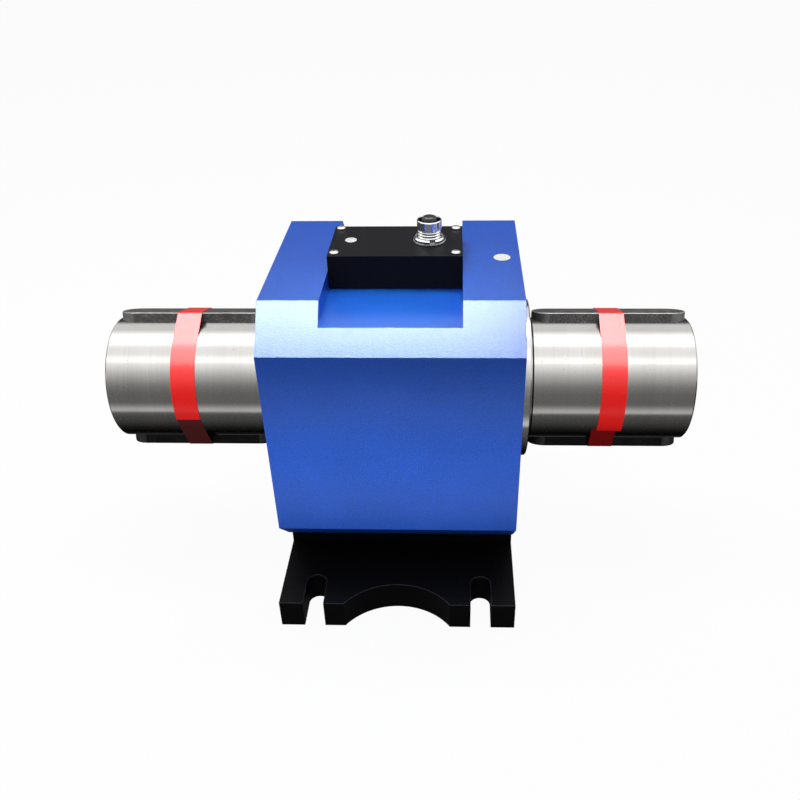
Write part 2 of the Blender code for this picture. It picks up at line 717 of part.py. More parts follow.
def build_gauges(shaft_axis):
    """Four strain gauges a quarter turn apart, and the curved board that reads them."""
    spread = gauge_width / gauge_section_radius
    inside = (gauge_section_radius + fit_gap) / cos(spread / gauge_facets / 2)
    for number in range(4):
        profile = [(-gauge_length / 2, inside), (-gauge_length / 2, inside + gauge_thickness),
                   (gauge_length / 2, inside + gauge_thickness), (gauge_length / 2, inside)]
        bm = turned(profile, gauge_facets, spread, number * pi / 2 - spread / 2)
        add_piece(f"gauge_{number + 1}", bm, GAUGE_FOIL, place=(gauge_x, 0, 0), parent=shaft_axis)
    inside = (gauge_section_radius + fit_gap) / cos(rotor_board_arc / board_facets / 2)
    outside = inside + rotor_board_thickness
    half = rotor_board_length / 2
    profile = [(-half, inside), (-half, outside), (half, outside), (half, inside)]
    add_piece("rotor_board", turned(profile, board_facets, rotor_board_arc), BOARD_GREEN,
              place=(rotor_board_x, 0, 0), parent=shaft_axis)


def box_screw_places():
    return four_corners(box_width / 2 - box_screw_inset_x, box_depth / 2 - box_screw_inset_y, box_y)


def pillar_places():
    return four_corners(cavity_half_width - pillar_inset_x, cavity_half_depth - pillar_inset_y, box_y)


def build_junction_box():
    """A milled cover, open below: its cavity leaves solid corners for the screws and pillars for the board."""
    half_width, half_depth = box_width / 2, box_depth / 2
    outline = rectangle(-half_width, box_y - half_depth, half_width, box_y + half_depth)
    box = add_piece("junction_box", prism(outline, box_floor, box_top), BLACK)
    cavity = cut_corners(cavity_half_width, cavity_half_depth, box_corner_boss)
    cavity = [(x, y + box_y) for x, y in cavity]
    combine(box, add_cutter("box_cavity", prism(cavity, box_floor - overrun, roof_underside)), "DIFFERENCE")
    pillar_bottom = roof_underside - pillar_length
    pillar_top = roof_underside + box_roof / 2
    pillars = [rod(pillar_radius, pillar_bottom, pillar_top, x, y) for x, y in pillar_places()]
    combine(box, add_cutter("box_pillars", merge_shapes(pillars)), "UNION")

    screw_hole = bore(box_screw_radius + fit_gap, screw_facets)
    board_hole = bore(board_screw_radius + fit_gap, board_screw_facets)
    board_hole_top = board_top + board_screw_grip + thread_end_gap
    shapes = [rod(screw_hole, box_floor - overrun, box_top + overrun, x, y) for x, y in box_screw_places()]
    shapes += [rod(board_hole, pillar_bottom - overrun, board_hole_top, x, y, board_screw_facets)
               for x, y in pillar_places()]
    socket_hole = bore(connector_thread_radius + fit_gap, connector_facets)
    shapes.append(rod(socket_hole, roof_underside - box_roof, box_top + overrun, connector_x, box_y,
                      connector_facets))
    plug_hole = bore(plug_stem_radius + fit_gap, screw_facets)
    shapes.append(rod(plug_hole, roof_underside - box_roof, box_top + overrun, plug_x, box_y))
    combine(box, add_cutter("box_holes", merge_shapes(shapes)), "DIFFERENCE")

    length = box_height + box_screw_grip
    for number, (x, y) in enumerate(box_screw_places(), start=1):
        bm = upright(screw(box_screw_radius, box_screw_head_radius, box_screw_head_height, length))
        add_piece(f"box_screw_{number}", bm, SCREW_STEEL, place=(x, y, box_top + fit_gap))

    head = [(box_top + fit_gap, plug_head_radius), (box_top + fit_gap + plug_head_height, plug_head_radius)]
    stem = [(roof_underside, plug_stem_radius), (box_top + fit_gap, plug_stem_radius)]
    add_piece("adjuster_plug", upright(turned(stem + head, plug_facets, is_ring=False)), WHITE_PLASTIC,
              place=(plug_x, box_y, 0))


def build_signal_board():
    half_width = cavity_half_width - board_margin
    half_depth = cavity_half_depth - board_margin
    outline = [(x, y + box_y) for x, y in cut_corners(half_width, half_depth, box_corner_boss)]
    board = add_piece("signal_board", prism(outline, board_bottom, board_top), BOARD_GREEN)
    hole = bore(board_screw_radius + fit_gap, board_screw_facets)
    holes = [rod(hole, board_bottom - board_thickness, board_top + board_thickness, x, y, board_screw_facets)
             for x, y in pillar_places()]
    combine(board, add_cutter("board_holes", merge_shapes(holes)), "DIFFERENCE")
    length = board_thickness + board_screw_grip
    for number, (x, y) in enumerate(pillar_places(), start=1):
        bm = upright(screw(board_screw_radius, board_screw_head_radius, board_screw_head_height, length,
                           board_screw_facets), downwards=True)
        add_piece(f"board_screw_{number}", bm, SCREW_STEEL, place=(x, y, board_bottom - fit_gap))


def build_connector():
    """A panel socket: its flange lies under the roof, and a slotted ring nut on the thread clamps it."""
    tail_bottom = board_top + fit_gap
    flange_top = roof_underside - fit_gap
    flange_bottom = flange_top - connector_flange_thickness
    thread_top = box_top + connector_thread_top
    rim = box_top + connector_top
    bore_floor = rim - connector_bore_depth
    inside = bore(connector_bore_radius, connector_facets)
    profile = [
        (tail_bottom, connector_tail_radius), (flange_bottom, connector_tail_radius),
        (flange_bottom, connector_flange_radius), (flange_top, connector_flange_radius),
        (flange_top, connector_thread_radius), (thread_top, connector_thread_radius),
        (thread_top, connector_sleeve_radius), (rim, connector_sleeve_radius), (rim, inside),
        (bore_floor, inside),
    ]
    place = (connector_x, box_y, 0)
    add_piece("connector_socket", upright(turned(profile, connector_facets, is_ring=False)), CHROME, place=place)

    insert_bottom = bore_floor + fit_gap
    insert_top = rim + insert_protrusion
    add_piece("connector_insert", rod(connector_insert_radius, insert_bottom, insert_top, facets=connector_facets),
              BLACK_PLASTIC, place=place)

    nut_bottom = box_top + fit_gap
    nut_top = nut_bottom + nut_height
    nut_bore = bore(connector_thread_radius + fit_gap, connector_facets)
    ring = [(nut_bottom, nut_bore), (nut_bottom, nut_radius), (nut_top, nut_radius), (nut_top, nut_bore)]
    nut = add_piece("connector_nut", upright(turned(ring, connector_facets)), CHROME, place=place)
    slots = []
    for quarter in range(4):
        half = nut_slot_width / 2
        outline = rectangle(-half, -2 * nut_radius, half, -nut_radius + nut_slot_depth)
        slot = prism(outline, nut_bottom - nut_height, nut_top + nut_height)
        turn = Matrix.Rotation(nut_slot_turn + quarter * pi / 2, 3, "Z")
        bmesh.ops.rotate(slot, verts=slot.verts, cent=(0, 0, 0), matrix=turn)
        slots.append(slot)
    combine(nut, add_cutter("nut_slots", merge_shapes(slots), place=place), "DIFFERENCE")


def build_sticker():
    low = axis_height + housing_half + fit_gap
    add_piece("blank_sticker", rod(sticker_radius, low, low + sticker_thickness, facets=sticker_facets), WHITE_PLASTIC,
              place=(sticker_x, sticker_y, 0))


def smooth_route(knots, count):
    """Evenly counted points on a smooth curve through the knots."""
    padded = [knots[0] * 2 - knots[1]] + knots + [knots[-1] * 2 - knots[-2]]
    spans = len(knots) - 1
    points = []
    for number in range(count):
        place = spans * number / (count - 1)
        span = min(int(place), spans - 1)
        t = place - span
        a, b, c, d = padded[span:span + 4]
        points.append(0.5 * (2 * b + (c - a) * t + (2 * a - 5 * b + 4 * c - d) * t ** 2
                             + (3 * b - a - 3 * c + d) * t ** 3))
    return points


def build_lead(side_name, side):
    """One coil's lead: along the top of the chamber, then up the passage to the board's underside."""
    start_x = coil_x - (stator_coil_length - rotor_coil_length) / 2 - fit_gap
    run_z = axis_height + housing_bore_radius - lead_depth_in_chamber
    up_x = lead_spacing / 2
    knots = [
        Vector((side * start_x, 0, run_z)),
        Vector((side * (start_x + up_x) / 2, 0, run_z)),
        Vector((side * (up_x + lead_passage_radius / 2), 0, run_z + lead_radius)),
        Vector((side * up_x, 0, axis_height + housing_bore_radius + lead_radius)),
        Vector((side * up_x, 0, (channel_floor + axis_height + housing_bore_radius) / 2)),
        Vector((side * up_x, 0, board_bottom - fit_gap)),
    ]
    curve = bpy.data.curves.new(f"{side_name}_coil_lead", "CURVE")
    curve.dimensions = "3D"
    curve.bevel_depth = lead_radius
    curve.bevel_resolution = 2
    curve.use_fill_caps = True
    spline = curve.splines.new("POLY")
    points = smooth_route(knots, lead_points)
    spline.points.add(len(points) - 1)
    for spline_point, point in zip(spline.points, points):
        spline_point.co = (*point, 1.0)
    curve.materials.append(finish(f"{side_name}_coil_lead", *BLACK_PLASTIC))
    lead = bpy.data.objects.new(f"{side_name}_coil_lead", curve)
    bpy.context.collection.objects.link(lead)


clear_scene()
build_housing()
build_base()
rotor = add_axis("shaft_axis", (0, 0, axis_height))
build_shaft(rotor)
build_tape("left_tape", left_tape_from_end - shaft_end_x, rotor)
build_tape("right_tape", shaft_end_x - right_tape_from_end, rotor)
build_gauges(rotor)
for side_label, direction in (("left", -1), ("right", 1)):
    cage_centre = add_axis(f"{side_label}_cage_axis", (direction * bearing_x, 0, axis_height))
    build_bearing_cap(side_label, direction)
    build_bearing(side_label, direction, rotor, cage_centre)
    build_coils(side_label, direction, rotor)
    build_lead(side_label, direction)
build_junction_box()
build_signal_board()
build_connector()
build_sticker()
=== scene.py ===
"""Looks of the rotary torque sensor: every visible piece modelled finely over its solid, with its finish.

Metres, +Z up. The origin is the centre of the foot's underside, and the shaft lies along X.
"""

from math import acos, atan2, cos, hypot, pi, radians, sin

import bmesh
import bpy
from mathutils import Matrix, Vector


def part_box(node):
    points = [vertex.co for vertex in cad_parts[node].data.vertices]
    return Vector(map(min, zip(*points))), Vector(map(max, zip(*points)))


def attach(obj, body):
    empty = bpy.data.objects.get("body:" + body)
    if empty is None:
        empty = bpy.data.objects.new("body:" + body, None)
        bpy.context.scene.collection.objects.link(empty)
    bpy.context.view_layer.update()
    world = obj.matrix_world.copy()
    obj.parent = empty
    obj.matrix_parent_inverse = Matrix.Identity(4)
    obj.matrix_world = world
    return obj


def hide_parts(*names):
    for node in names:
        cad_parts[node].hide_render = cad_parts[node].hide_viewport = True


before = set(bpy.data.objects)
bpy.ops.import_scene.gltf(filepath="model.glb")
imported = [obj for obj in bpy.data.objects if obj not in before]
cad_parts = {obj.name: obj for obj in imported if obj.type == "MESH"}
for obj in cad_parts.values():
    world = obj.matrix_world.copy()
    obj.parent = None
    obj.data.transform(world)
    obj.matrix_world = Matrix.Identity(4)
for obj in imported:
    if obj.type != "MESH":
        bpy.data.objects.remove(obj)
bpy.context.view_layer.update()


# Foot: one black anodised plate, milled from solid, with a raised pedestal that carries the housing.
# Four open slots take the foundation bolts. Two round cut-outs save weight and give a hand-hold.
foot_length = 0.284
foot_thickness = 0.025
pedestal_length = 0.132
slot_spacing = 0.135
slot_width = 0.0165
slot_length = 0.033
cutout_chord = 0.085
cutout_depth = 0.0225
foot_edge = 0.0004
foot_screw_x = 0.070
foot_screw_y = 0.045
screw_head_radius = 0.008
screw_shank_radius = 0.005
counterbore_depth = 0.012
foot_low, foot_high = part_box("base")
BLACK_ANODISE = (0.0016, 0.0015, 0.0019, 1.0)
# Edges: rubbed bare metal, made lighter still by a painted highlight.
BLACK_RUBBED_EDGE_AND_HIGHLIGHT = (0.070, 0.068, 0.074, 1.0)
# Pieces that touch stand a hair apart, a cutter runs well past what it cuts, and points that are nearer than the
# last value are one.
fit_gap = 0.0003
overrun = 0.010
weld_distance = 0.000001
# Steps round a large circle and round a drilled hole.
round_steps = 96
hole_steps = 48
# Where two faces turn by more than this, their edge is sharp.
sharp_angle = radians(30)
# How far a face has to look upwards to be a top, and a broken edge to be rubbed and carry a painted highlight.
top_from = 0.5
rubbed_and_lit_from = 0.3
# The blasted grain, and the blotches under it: how many to the metre, their darkest and their lightest.
grain_scale = 950.0
grain_shares = (0.78, 1.24)
grain_gloss = (-0.05, 0.07)
grain_depth = 0.0001
grain_strength = 0.75
blotch_scale = 22.0
blotch_shades = ((0.95, 0.95, 0.95, 1.0), (1.03, 1.03, 1.03, 1.0))
cloud_limits = (0.35, 0.65)


def shaded(colour, share):
    """The colour, darker or lighter by this share."""
    return tuple(min(channel * share, 1.0) for channel in colour[:3]) + (1.0,)


def new_material(name, colour, metallic, roughness):
    """A material with its shader's plain values set. Returns the material and its shader."""
    material = bpy.data.materials.new(name)
    material.use_nodes = True
    shader = material.node_tree.nodes["Principled BSDF"]
    shader.inputs["Base Color"].default_value = colour
    shader.inputs["Metallic"].default_value = metallic
    shader.inputs["Roughness"].default_value = roughness
    return material, shader


def add_node(owner, kind, **settings):
    """Adds a shader node. A setting is an attribute of the node, or else the value of a socket."""
    node = owner.node_tree.nodes.new(kind)
    for name, value in settings.items():
        if hasattr(node, name):
            setattr(node, name, value)
        else:
            node.inputs[name.replace("_", " ").title()].default_value = value
    return node


def wire(owner, value, socket):
    """Feeds a socket with a node's output or with a plain value."""
    if hasattr(value, "links"):
        owner.node_tree.links.new(value, socket)
    else:
        socket.default_value = value


def place_of(material, stretch=(1.0, 1.0, 1.0), shift=(0.0, 0.0, 0.0)):
    """The piece's own coordinates in metres, stretched along each axis and shifted."""
    coordinates = add_node(material, "ShaderNodeTexCoord")
    mapping = add_node(material, "ShaderNodeMapping", Scale=stretch, Location=shift)
    wire(material, coordinates.outputs["Object"], mapping.inputs["Vector"])
    return mapping.outputs["Vector"]


def noise(material, place, scale, detail=3.0):
    """Noise with about `scale` blotches to the metre."""
    texture = add_node(material, "ShaderNodeTexNoise", Scale=scale, Detail=detail)
    wire(material, place, texture.inputs["Vector"])
    return texture.outputs["Fac"]


def between(material, fraction, low, high, start=0.3, end=0.7):
    """Goes from low to high, two colours or plain values, as the fraction goes from start to end.

    Noise mostly lies between the two ends that are given here.
    """
    if isinstance(low, tuple):
        ramp = add_node(material, "ShaderNodeValToRGB")
        for element, position, colour in zip(ramp.color_ramp.elements, (start, end), (low, high)):
            element.position = position
            element.color = colour
        wire(material, fraction, ramp.inputs["Fac"])
        return ramp.outputs["Color"]
    remap = add_node(material, "ShaderNodeMapRange", From_Min=start, From_Max=end, To_Min=low, To_Max=high)
    wire(material, fraction, remap.inputs["Value"])
    return remap.outputs["Result"]


def mixed(material, fraction, one, other, blend="MIX"):
    """Blends two colours, each a socket or a plain colour."""
    mix = add_node(material, "ShaderNodeMix", data_type="RGBA", blend_type=blend)
    sockets = {socket.identifier: socket for socket in [*mix.inputs, *mix.outputs]}
    for value, socket in ((fraction, "Factor_Float"), (one, "A_Color"), (other, "B_Color")):
        wire(material, value, sockets[socket])
    return sockets["Result_Color"]


def clouded(material, colour, clouds, shades):
    """Multiplies a colour by soft clouds that go from the first shade to the second."""
    return mixed(material, 1.0, colour, between(material, clouds, *shades, *cloud_limits), "MULTIPLY")


def roughen(material, shader, heights, depth, strength):
    """A surface relief: heights from 0 to 1, `depth` metres from lowest to highest."""
    bump = add_node(material, "ShaderNodeBump", Strength=strength, Distance=depth)
    wire(material, heights, bump.inputs["Height"])
    wire(material, bump.outputs["Normal"], shader.inputs["Normal"])
    return bump.outputs["Normal"]


def coated(shader, weight, roughness, specular):
    """A clear coat over a base that mirrors this much."""
    shader.inputs["Coat Weight"].default_value = weight
    shader.inputs["Coat Roughness"].default_value = roughness
    shader.inputs["Specular IOR Level"].default_value = specular


def anodised(name, colour, rubbed_and_lit_edge_colour, metallic, roughness, coat, coat_roughness, specular):
    """Sandblasted and anodised aluminium with fine grain. Returns the faces' and the edges' finish, the edges'
    lighter by a painted highlight.
    """
    made = []
    for label, tint in (("face", colour), ("edge", rubbed_and_lit_edge_colour)):
        material, shader = new_material(f"{name}_{label}", tint, metallic, roughness)
        place = place_of(material)
        grain = noise(material, place, grain_scale)
        blotches = noise(material, place, blotch_scale)
        fine = between(material, grain, *[shaded(tint, share) for share in grain_shares])
        wire(material, clouded(material, fine, blotches, blotch_shades), shader.inputs["Base Color"])
        wire(material, between(material, grain, *[roughness + change for change in grain_gloss]),
             shader.inputs["Roughness"])
        relief = roughen(material, shader, grain, grain_depth, grain_strength)
        wire(material, relief, shader.inputs["Coat Normal"])
        coated(shader, coat, coat_roughness, specular)
        made.append(material)
    return made


def to_object(name, bm):
    """Puts a shape into the scene as an object, and frees the shape."""
    mesh = bpy.data.meshes.new(name)
    bm.to_mesh(mesh)
    bm.free()
    thing = bpy.data.objects.new(name, mesh)
    bpy.context.scene.collection.objects.link(thing)
    return thing


def cut_from(*shapes):
    """Cuts all the other solid shapes out of the first, one after the other, and returns what is left."""
    blanks = []
    for shape in shapes:
        bmesh.ops.recalc_face_normals(shape, faces=shape.faces)
        blanks.append(to_object("blank", shape))
    for tool in blanks[1:]:
        cut = blanks[0].modifiers.new("cut", "BOOLEAN")
        cut.operation = "DIFFERENCE"
        cut.solver = "EXACT"
        cut.object = tool
    left = bmesh.new()
    left.from_object(blanks[0], bpy.context.evaluated_depsgraph_get())
    for blank in blanks:
        mesh = blank.data
        bpy.data.objects.remove(blank)
        bpy.data.meshes.remove(mesh)
    return left


def weld(bm):
    bmesh.ops.remove_doubles(bm, verts=bm.verts, dist=weld_distance)


def bevel(bm, edges, width, steps=1):
    return bmesh.ops.bevel(bm, geom=edges, offset=width, offset_type="OFFSET", segments=steps, profile=0.5,
                           affect="EDGES", material=-1, clamp_overlap=True)


def soften_edges(bm, width, steps=2):
    """Breaks every sharp outer edge. Where the new narrow faces look upwards they take the second finish, mostly
    a painted highlight.
    """
    weld(bm)
    bmesh.ops.recalc_face_normals(bm, faces=bm.faces)
    sharp = [edge for edge in bm.edges if edge.is_manifold and edge.calc_face_angle_signed() > sharp_angle]
    for face in bevel(bm, sharp, width, steps)["faces"]:
        face.normal_update()
        face.material_index = 1 if face.normal.z > rubbed_and_lit_from else 0
    return bm


def turn_mesh(bm, angle, axis):
    bmesh.ops.rotate(bm, verts=bm.verts, cent=(0, 0, 0), matrix=Matrix.Rotation(angle, 3, axis))
    return bm


def move_mesh(bm, x=0.0, y=0.0, z=0.0):
    bmesh.ops.translate(bm, verts=bm.verts, vec=(x, y, z))
    return bm


def push_out(bm, faces, way):
    """Makes a flat outline solid by pushing its faces out this way."""
    pushed = bmesh.ops.extrude_face_region(bm, geom=faces)["geom"]
    bmesh.ops.translate(bm, verts=[item for item in pushed if isinstance(item, bmesh.types.BMVert)], vec=way)
    return bm


def block(low, high):
    """A plain box between two corners, to be cut and softened."""
    bm = bmesh.new()
    bmesh.ops.create_cube(bm, size=1.0)
    bmesh.ops.scale(bm, verts=bm.verts, vec=[b - a for a, b in zip(low, high)])
    return move_mesh(bm, *[(a + b) / 2 for a, b in zip(low, high)])


def lathe(profile, steps=round_steps, ring=False):
    """Turns a profile of (x, radius) points about the X axis. Unless it is a ring, the axis closes it."""
    if not ring:
        profile = [(profile[0][0], 0.0), *profile, (profile[-1][0], 0.0)]
    bm = bmesh.new()
    corners = [bm.verts.new((x, 0.0, radius)) for x, radius in profile]
    closing = corners[:1] if ring else []
    edges = [bm.edges.new(pair) for pair in zip(corners, corners[1:] + closing)]
    bmesh.ops.spin(bm, geom=corners + edges, cent=(0, 0, 0), axis=(1, 0, 0), angle=2 * pi, steps=steps,
                   use_merge=True)
    weld(bm)
    return bm


def upright(bm):
    """Turns what was made along +X so that it points along +Z."""
    return turn_mesh(bm, -pi / 2, "Y")


def set_piece(name, bm, materials, nodes, body="stator", smooth=sharp_angle):
    """Puts a finished mesh into the scene, on its body, in place of its solids."""
    weld(bm)
    bmesh.ops.recalc_face_normals(bm, faces=bm.faces)
    piece = to_object(name, bm)
    piece.data.shade_smooth()
    piece.data.set_sharp_from_angle(angle=smooth)
    for material in materials:
        piece.data.materials.append(material)
    even = piece.modifiers.new("even_normals", "WEIGHTED_NORMAL")
    even.keep_sharp = True
    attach(piece, body)
    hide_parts(*nodes)
    return piece


def u_slot(x, end_y, inwards):
    """The milling path of one open slot: a round end joined to the plate's edge."""
    radius = slot_width / 2
    bm = bmesh.new()
    centre_y = end_y + inwards * (slot_length - radius)
    bmesh.ops.create_circle(bm, cap_ends=True, segments=round_steps, radius=radius,
                            matrix=Matrix.Translation((x, centre_y, -foot_thickness)))
    outer = [vert for vert in bm.verts if (vert.co.y - centre_y) * inwards < -weld_distance]
    for vert in outer:
        vert.co.y = end_y - inwards * radius
        vert.co.x = x + radius * (1 if vert.co.x > x else -1)
    weld(bm)
    return push_out(bm, bm.faces[:], (0, 0, 3 * foot_thickness))


def round_cutout(end_y, inwards):
    """A cylinder whose arc has the cut-out's chord on the plate's edge."""
    half = cutout_chord / 2
    radius = (half ** 2 + cutout_depth ** 2) / (2 * cutout_depth)
    bm = lathe([(-foot_thickness, radius), (2 * foot_thickness, radius)], 2 * round_steps)
    return move_mesh(upright(bm), y=end_y + inwards * (cutout_depth - radius))


black_finish = anodised("black_anodise", BLACK_ANODISE, BLACK_RUBBED_EDGE_AND_HIGHLIGHT, metallic=0.0, roughness=0.46, coat=0.0,
                        coat_roughness=0.30, specular=0.11)

plate = block((foot_low.x, -foot_length / 2, 0.0), (foot_high.x, foot_length / 2, foot_thickness))
for y in (-pedestal_length / 2, pedestal_length / 2):
    bmesh.ops.bisect_plane(plate, geom=plate.verts[:] + plate.edges[:] + plate.faces[:],
                           plane_co=(0, y, 0), plane_no=(0, 1, 0))
middle = [face for face in plate.faces
          if face.normal.z > top_from and abs(face.calc_center_median().y) < pedestal_length / 2]
raised = bmesh.ops.extrude_discrete_faces(plate, faces=middle)
for face in raised["faces"]:
    bmesh.ops.translate(plate, verts=face.verts, vec=(0, 0, foot_high.z - foot_thickness))
weld(plate)

screw_places = [(x, y) for y in (-foot_screw_y, foot_screw_y) for x in (-foot_screw_x, foot_screw_x)]
cutters = [u_slot(side * slot_spacing / 2, -end * foot_length / 2, end)
           for side in (-1, 1) for end in (-1, 1)]
cutters += [round_cutout(-end * foot_length / 2, end) for end in (-1, 1)]
for x, y in screw_places:
    drill = lathe([(-overrun, screw_head_radius + fit_gap),
                         (counterbore_depth, screw_head_radius + fit_gap),
                         (counterbore_depth, screw_shank_radius + fit_gap),
                         (foot_high.z + overrun, screw_shank_radius + fit_gap)], hole_steps)
    cutters.append(move_mesh(upright(drill), x, y))
foot = soften_edges(cut_from(plate, *cutters), foot_edge)
set_piece("foot", foot, black_finish, ["base"])


# Housing: one block of aluminium, milled to eight sides and bored through for the bearings and the coils.
# A channel across its top takes the junction box. It is blasted with fine beads and anodised blue.
housing_chamfer = 0.0295
channel_depth = 0.0142
channel_half = 0.0508
bore_radius = 0.078
recess_radius = 0.0913
recess_floor = 0.0847
lead_passage_radius = 0.008
lead_passage_steps = 32
housing_edge = 0.0006
BLUE_ANODISE = (0.009, 0.098, 0.60, 1.0)
# Edges: a painted highlight.
BLUE_EDGE_HIGHLIGHT = (0.04, 0.17, 0.72, 1.0)
housing_low, housing_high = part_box("housing")
housing_side = housing_high.x
axis_height = (housing_low.z + housing_high.z) / 2
channel_floor = housing_high.z - channel_depth
blue_finish = anodised("blue_anodise", BLUE_ANODISE, BLUE_EDGE_HIGHLIGHT, metallic=0.10, roughness=0.44, coat=1.0,
                       coat_roughness=0.20, specular=0.1)

prism = block(housing_low, housing_high)
long_edges = [edge for edge in prism.edges if abs(edge.verts[0].co.x - edge.verts[1].co.x) > housing_side]
bevel(prism, long_edges, housing_chamfer)
reach = housing_side + overrun
bore = lathe([(-reach, recess_radius), (-recess_floor, recess_radius), (-recess_floor, bore_radius),
                    (recess_floor, bore_radius), (recess_floor, recess_radius), (reach, recess_radius)],
                   2 * round_steps)
channel = block((-channel_half, 2 * housing_low.y, channel_floor),
                (channel_half, 2 * housing_high.y, housing_high.z + overrun))
passage = lathe([(axis_height, lead_passage_radius), (housing_high.z, lead_passage_radius)],
                      lead_passage_steps)
housing = cut_from(prism, move_mesh(bore, z=axis_height), channel, upright(passage))
soften_edges(housing, housing_edge)
housing_block = set_piece("housing_block", housing, blue_finish, ["housing"])


# Foot screws: four socket-head cap screws, put in from below through the foot's counterbores.
# Rolled steel, hardened and plated. Each has a six-sided socket in its head.
PLATED_GREY = (0.50, 0.50, 0.49, 1.0)
# Painted shade inside each screw's socket.
SOCKET_SHADE = (0.06, 0.058, 0.055, 1.0)
foot_screw_socket = 0.0046
foot_screw_length = 0.0482
foot_screw_head_height = 0.010
head_chamfer = 0.0006
socket_sides = 6
# A socket's inner faces lie between these shares of the head's height. They take painted shade.
socket_band = (0.4, 0.99)
# Metal's darkest and lightest grain, and its glossiest and dullest, as shares of its own.
metal_shares = (0.85, 1.10)
metal_gloss = (0.8, 1.3)
metal_strength = 0.4


def metal(name, colour, roughness, scale=1800.0, depth=0.00002):
    """Bare or plated metal with fine grain in its colour and its gloss."""
    material, shader = new_material(name, colour, 1.0, roughness)
    grain = noise(material, place_of(material), scale)
    wire(material, between(material, grain, *[shaded(colour, share) for share in metal_shares]),
         shader.inputs["Base Color"])
    wire(material, between(material, grain, *[roughness * share for share in metal_gloss]),
         shader.inputs["Roughness"])
    roughen(material, shader, grain, depth, metal_strength)
    return material


def socket_screw(shank_radius, length, head_radius, head_height, socket_radius):
    """A socket-head screw that points down: the underside of its head is at z = 0."""
    turned = lathe([(-length, shank_radius - head_chamfer), (head_chamfer - length, shank_radius),
                          (0, shank_radius), (0, head_radius), (head_height - head_chamfer, head_radius),
                          (head_height, head_radius - head_chamfer)], hole_steps)
    socket = bmesh.new()
    bmesh.ops.create_circle(socket, cap_ends=True, segments=socket_sides, radius=socket_radius,
                            matrix=Matrix.Translation((0, 0, head_height / 2)))
    screw = cut_from(upright(turned), push_out(socket, socket.faces[:], (0, 0, head_height)))
    for face in screw.faces:
        middle = face.calc_center_median()
        sunk = socket_band[0] < middle.z / head_height < socket_band[1]
        face.material_index = 1 if sunk and hypot(middle.x, middle.y) < socket_radius else 0
    return screw


screw_finish = [metal("plated_screw", PLATED_GREY, roughness=0.30),
                metal("socket_shade", SOCKET_SHADE, roughness=0.55)]
foot_screw = socket_screw(screw_shank_radius, foot_screw_length, screw_head_radius, foot_screw_head_height,
                          foot_screw_socket)
turn_mesh(foot_screw, pi, "X")
for number, (x, y) in enumerate(screw_places, start=1):
    copy = move_mesh(foot_screw.copy(), x, y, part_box(f"base_screw_{number}")[0].z + foot_screw_head_height)
    set_piece(f"foot_screw_{number}", copy, screw_finish, [f"base_screw_{number}"])
foot_screw.free()


# Shaft: one bar of tool steel, turned between centres and ground. Its thin middle twists under load.
# A narrow relief groove beside each cap lets the grinding wheel run out. Two keyseats are milled at each end.
shaft_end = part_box("torsion_shaft")[1].x
shaft_radius = 0.050
seat_radius = 0.0525
shoulder_radius = 0.059
gauge_radius = 0.042
gauge_half = 0.026
gauge_taper = 0.008
shoulder_x = 0.062
seat_end_x = 0.088
clip_groove = (0.0823, 0.0851)
clip_floor = 0.0509
relief_x = 0.1071
relief_half_width = 0.0007
relief_depth = 0.0008
end_chamfer = 0.0012
centre_hole_mouth = 0.0085
centre_hole_pilot = 0.0032
centre_hole_cone = 0.0092
centre_hole_depth = 0.016
key_length = 0.125
key_width = 0.028
key_top_radius = 0.056
key_angle = radians(18.2)
key_centre_x = 0.1705
keyseat_floor = 0.0397
GROUND_STEEL = (0.56, 0.55, 0.53, 1.0)
# Painted shade for the relief grooves.
GROOVE_SHADE = (0.035, 0.033, 0.030, 1.0)
# A face lies in a relief groove within this share of its half width, and between these shares of its depth. Such
# faces take painted shade.
groove_reach = 1.1
groove_depths = (0.1, 2.0)
shaft_steps = 128
# The marks of turning and grinding: how many to the metre along and outwards, and how many round the shaft.
ring_scale = (2600.0, 14.0)
ring_shares = (0.95, 1.04)
ring_gloss = (0.92, 1.1)
ring_depth = 0.000001
ring_strength = 0.3
band_scale = (60.0, 8.0)
band_shades = ((0.975, 0.96, 0.96, 1.0), (1.02, 1.02, 1.02, 1.0))
# Stray dull specks: how many to the metre, the noise at which one starts and is full, and how dull it is.
speck_scale = 800.0
speck_limits = (0.735, 0.76)
speck_roughness = 0.75


def computed(owner, operation, *values):
    """The result of a math node on sockets or plain values."""
    node = add_node(owner, "ShaderNodeMath", operation=operation)
    for value, socket in zip(values, node.inputs):
        wire(owner, value, socket)
    return node.outputs["Value"]


def round_place(material, stretch, stretch_round):
    """Coordinates along X, outwards from the shaft's axis, and slowly round it."""
    centred = place_of(material, shift=(0.0, 0.0, -axis_height))
    flat = add_node(material, "ShaderNodeMapping", Scale=(0.0, 1.0, 1.0))
    wire(material, centred, flat.inputs["Vector"])
    distance = add_node(material, "ShaderNodeVectorMath", operation="LENGTH")
    wire(material, flat.outputs["Vector"], distance.inputs[0])
    parts = add_node(material, "ShaderNodeSeparateXYZ")
    wire(material, centred, parts.inputs["Vector"])
    joined = add_node(material, "ShaderNodeCombineXYZ")
    for value, share, socket in ((parts.outputs["X"], stretch, "X"),
                                 (distance.outputs["Value"], stretch, "Y"),
                                 (parts.outputs["Y"], stretch_round, "Z")):
        wire(material, computed(material, "MULTIPLY", value, share), joined.inputs[socket])
    return joined.outputs["Vector"]


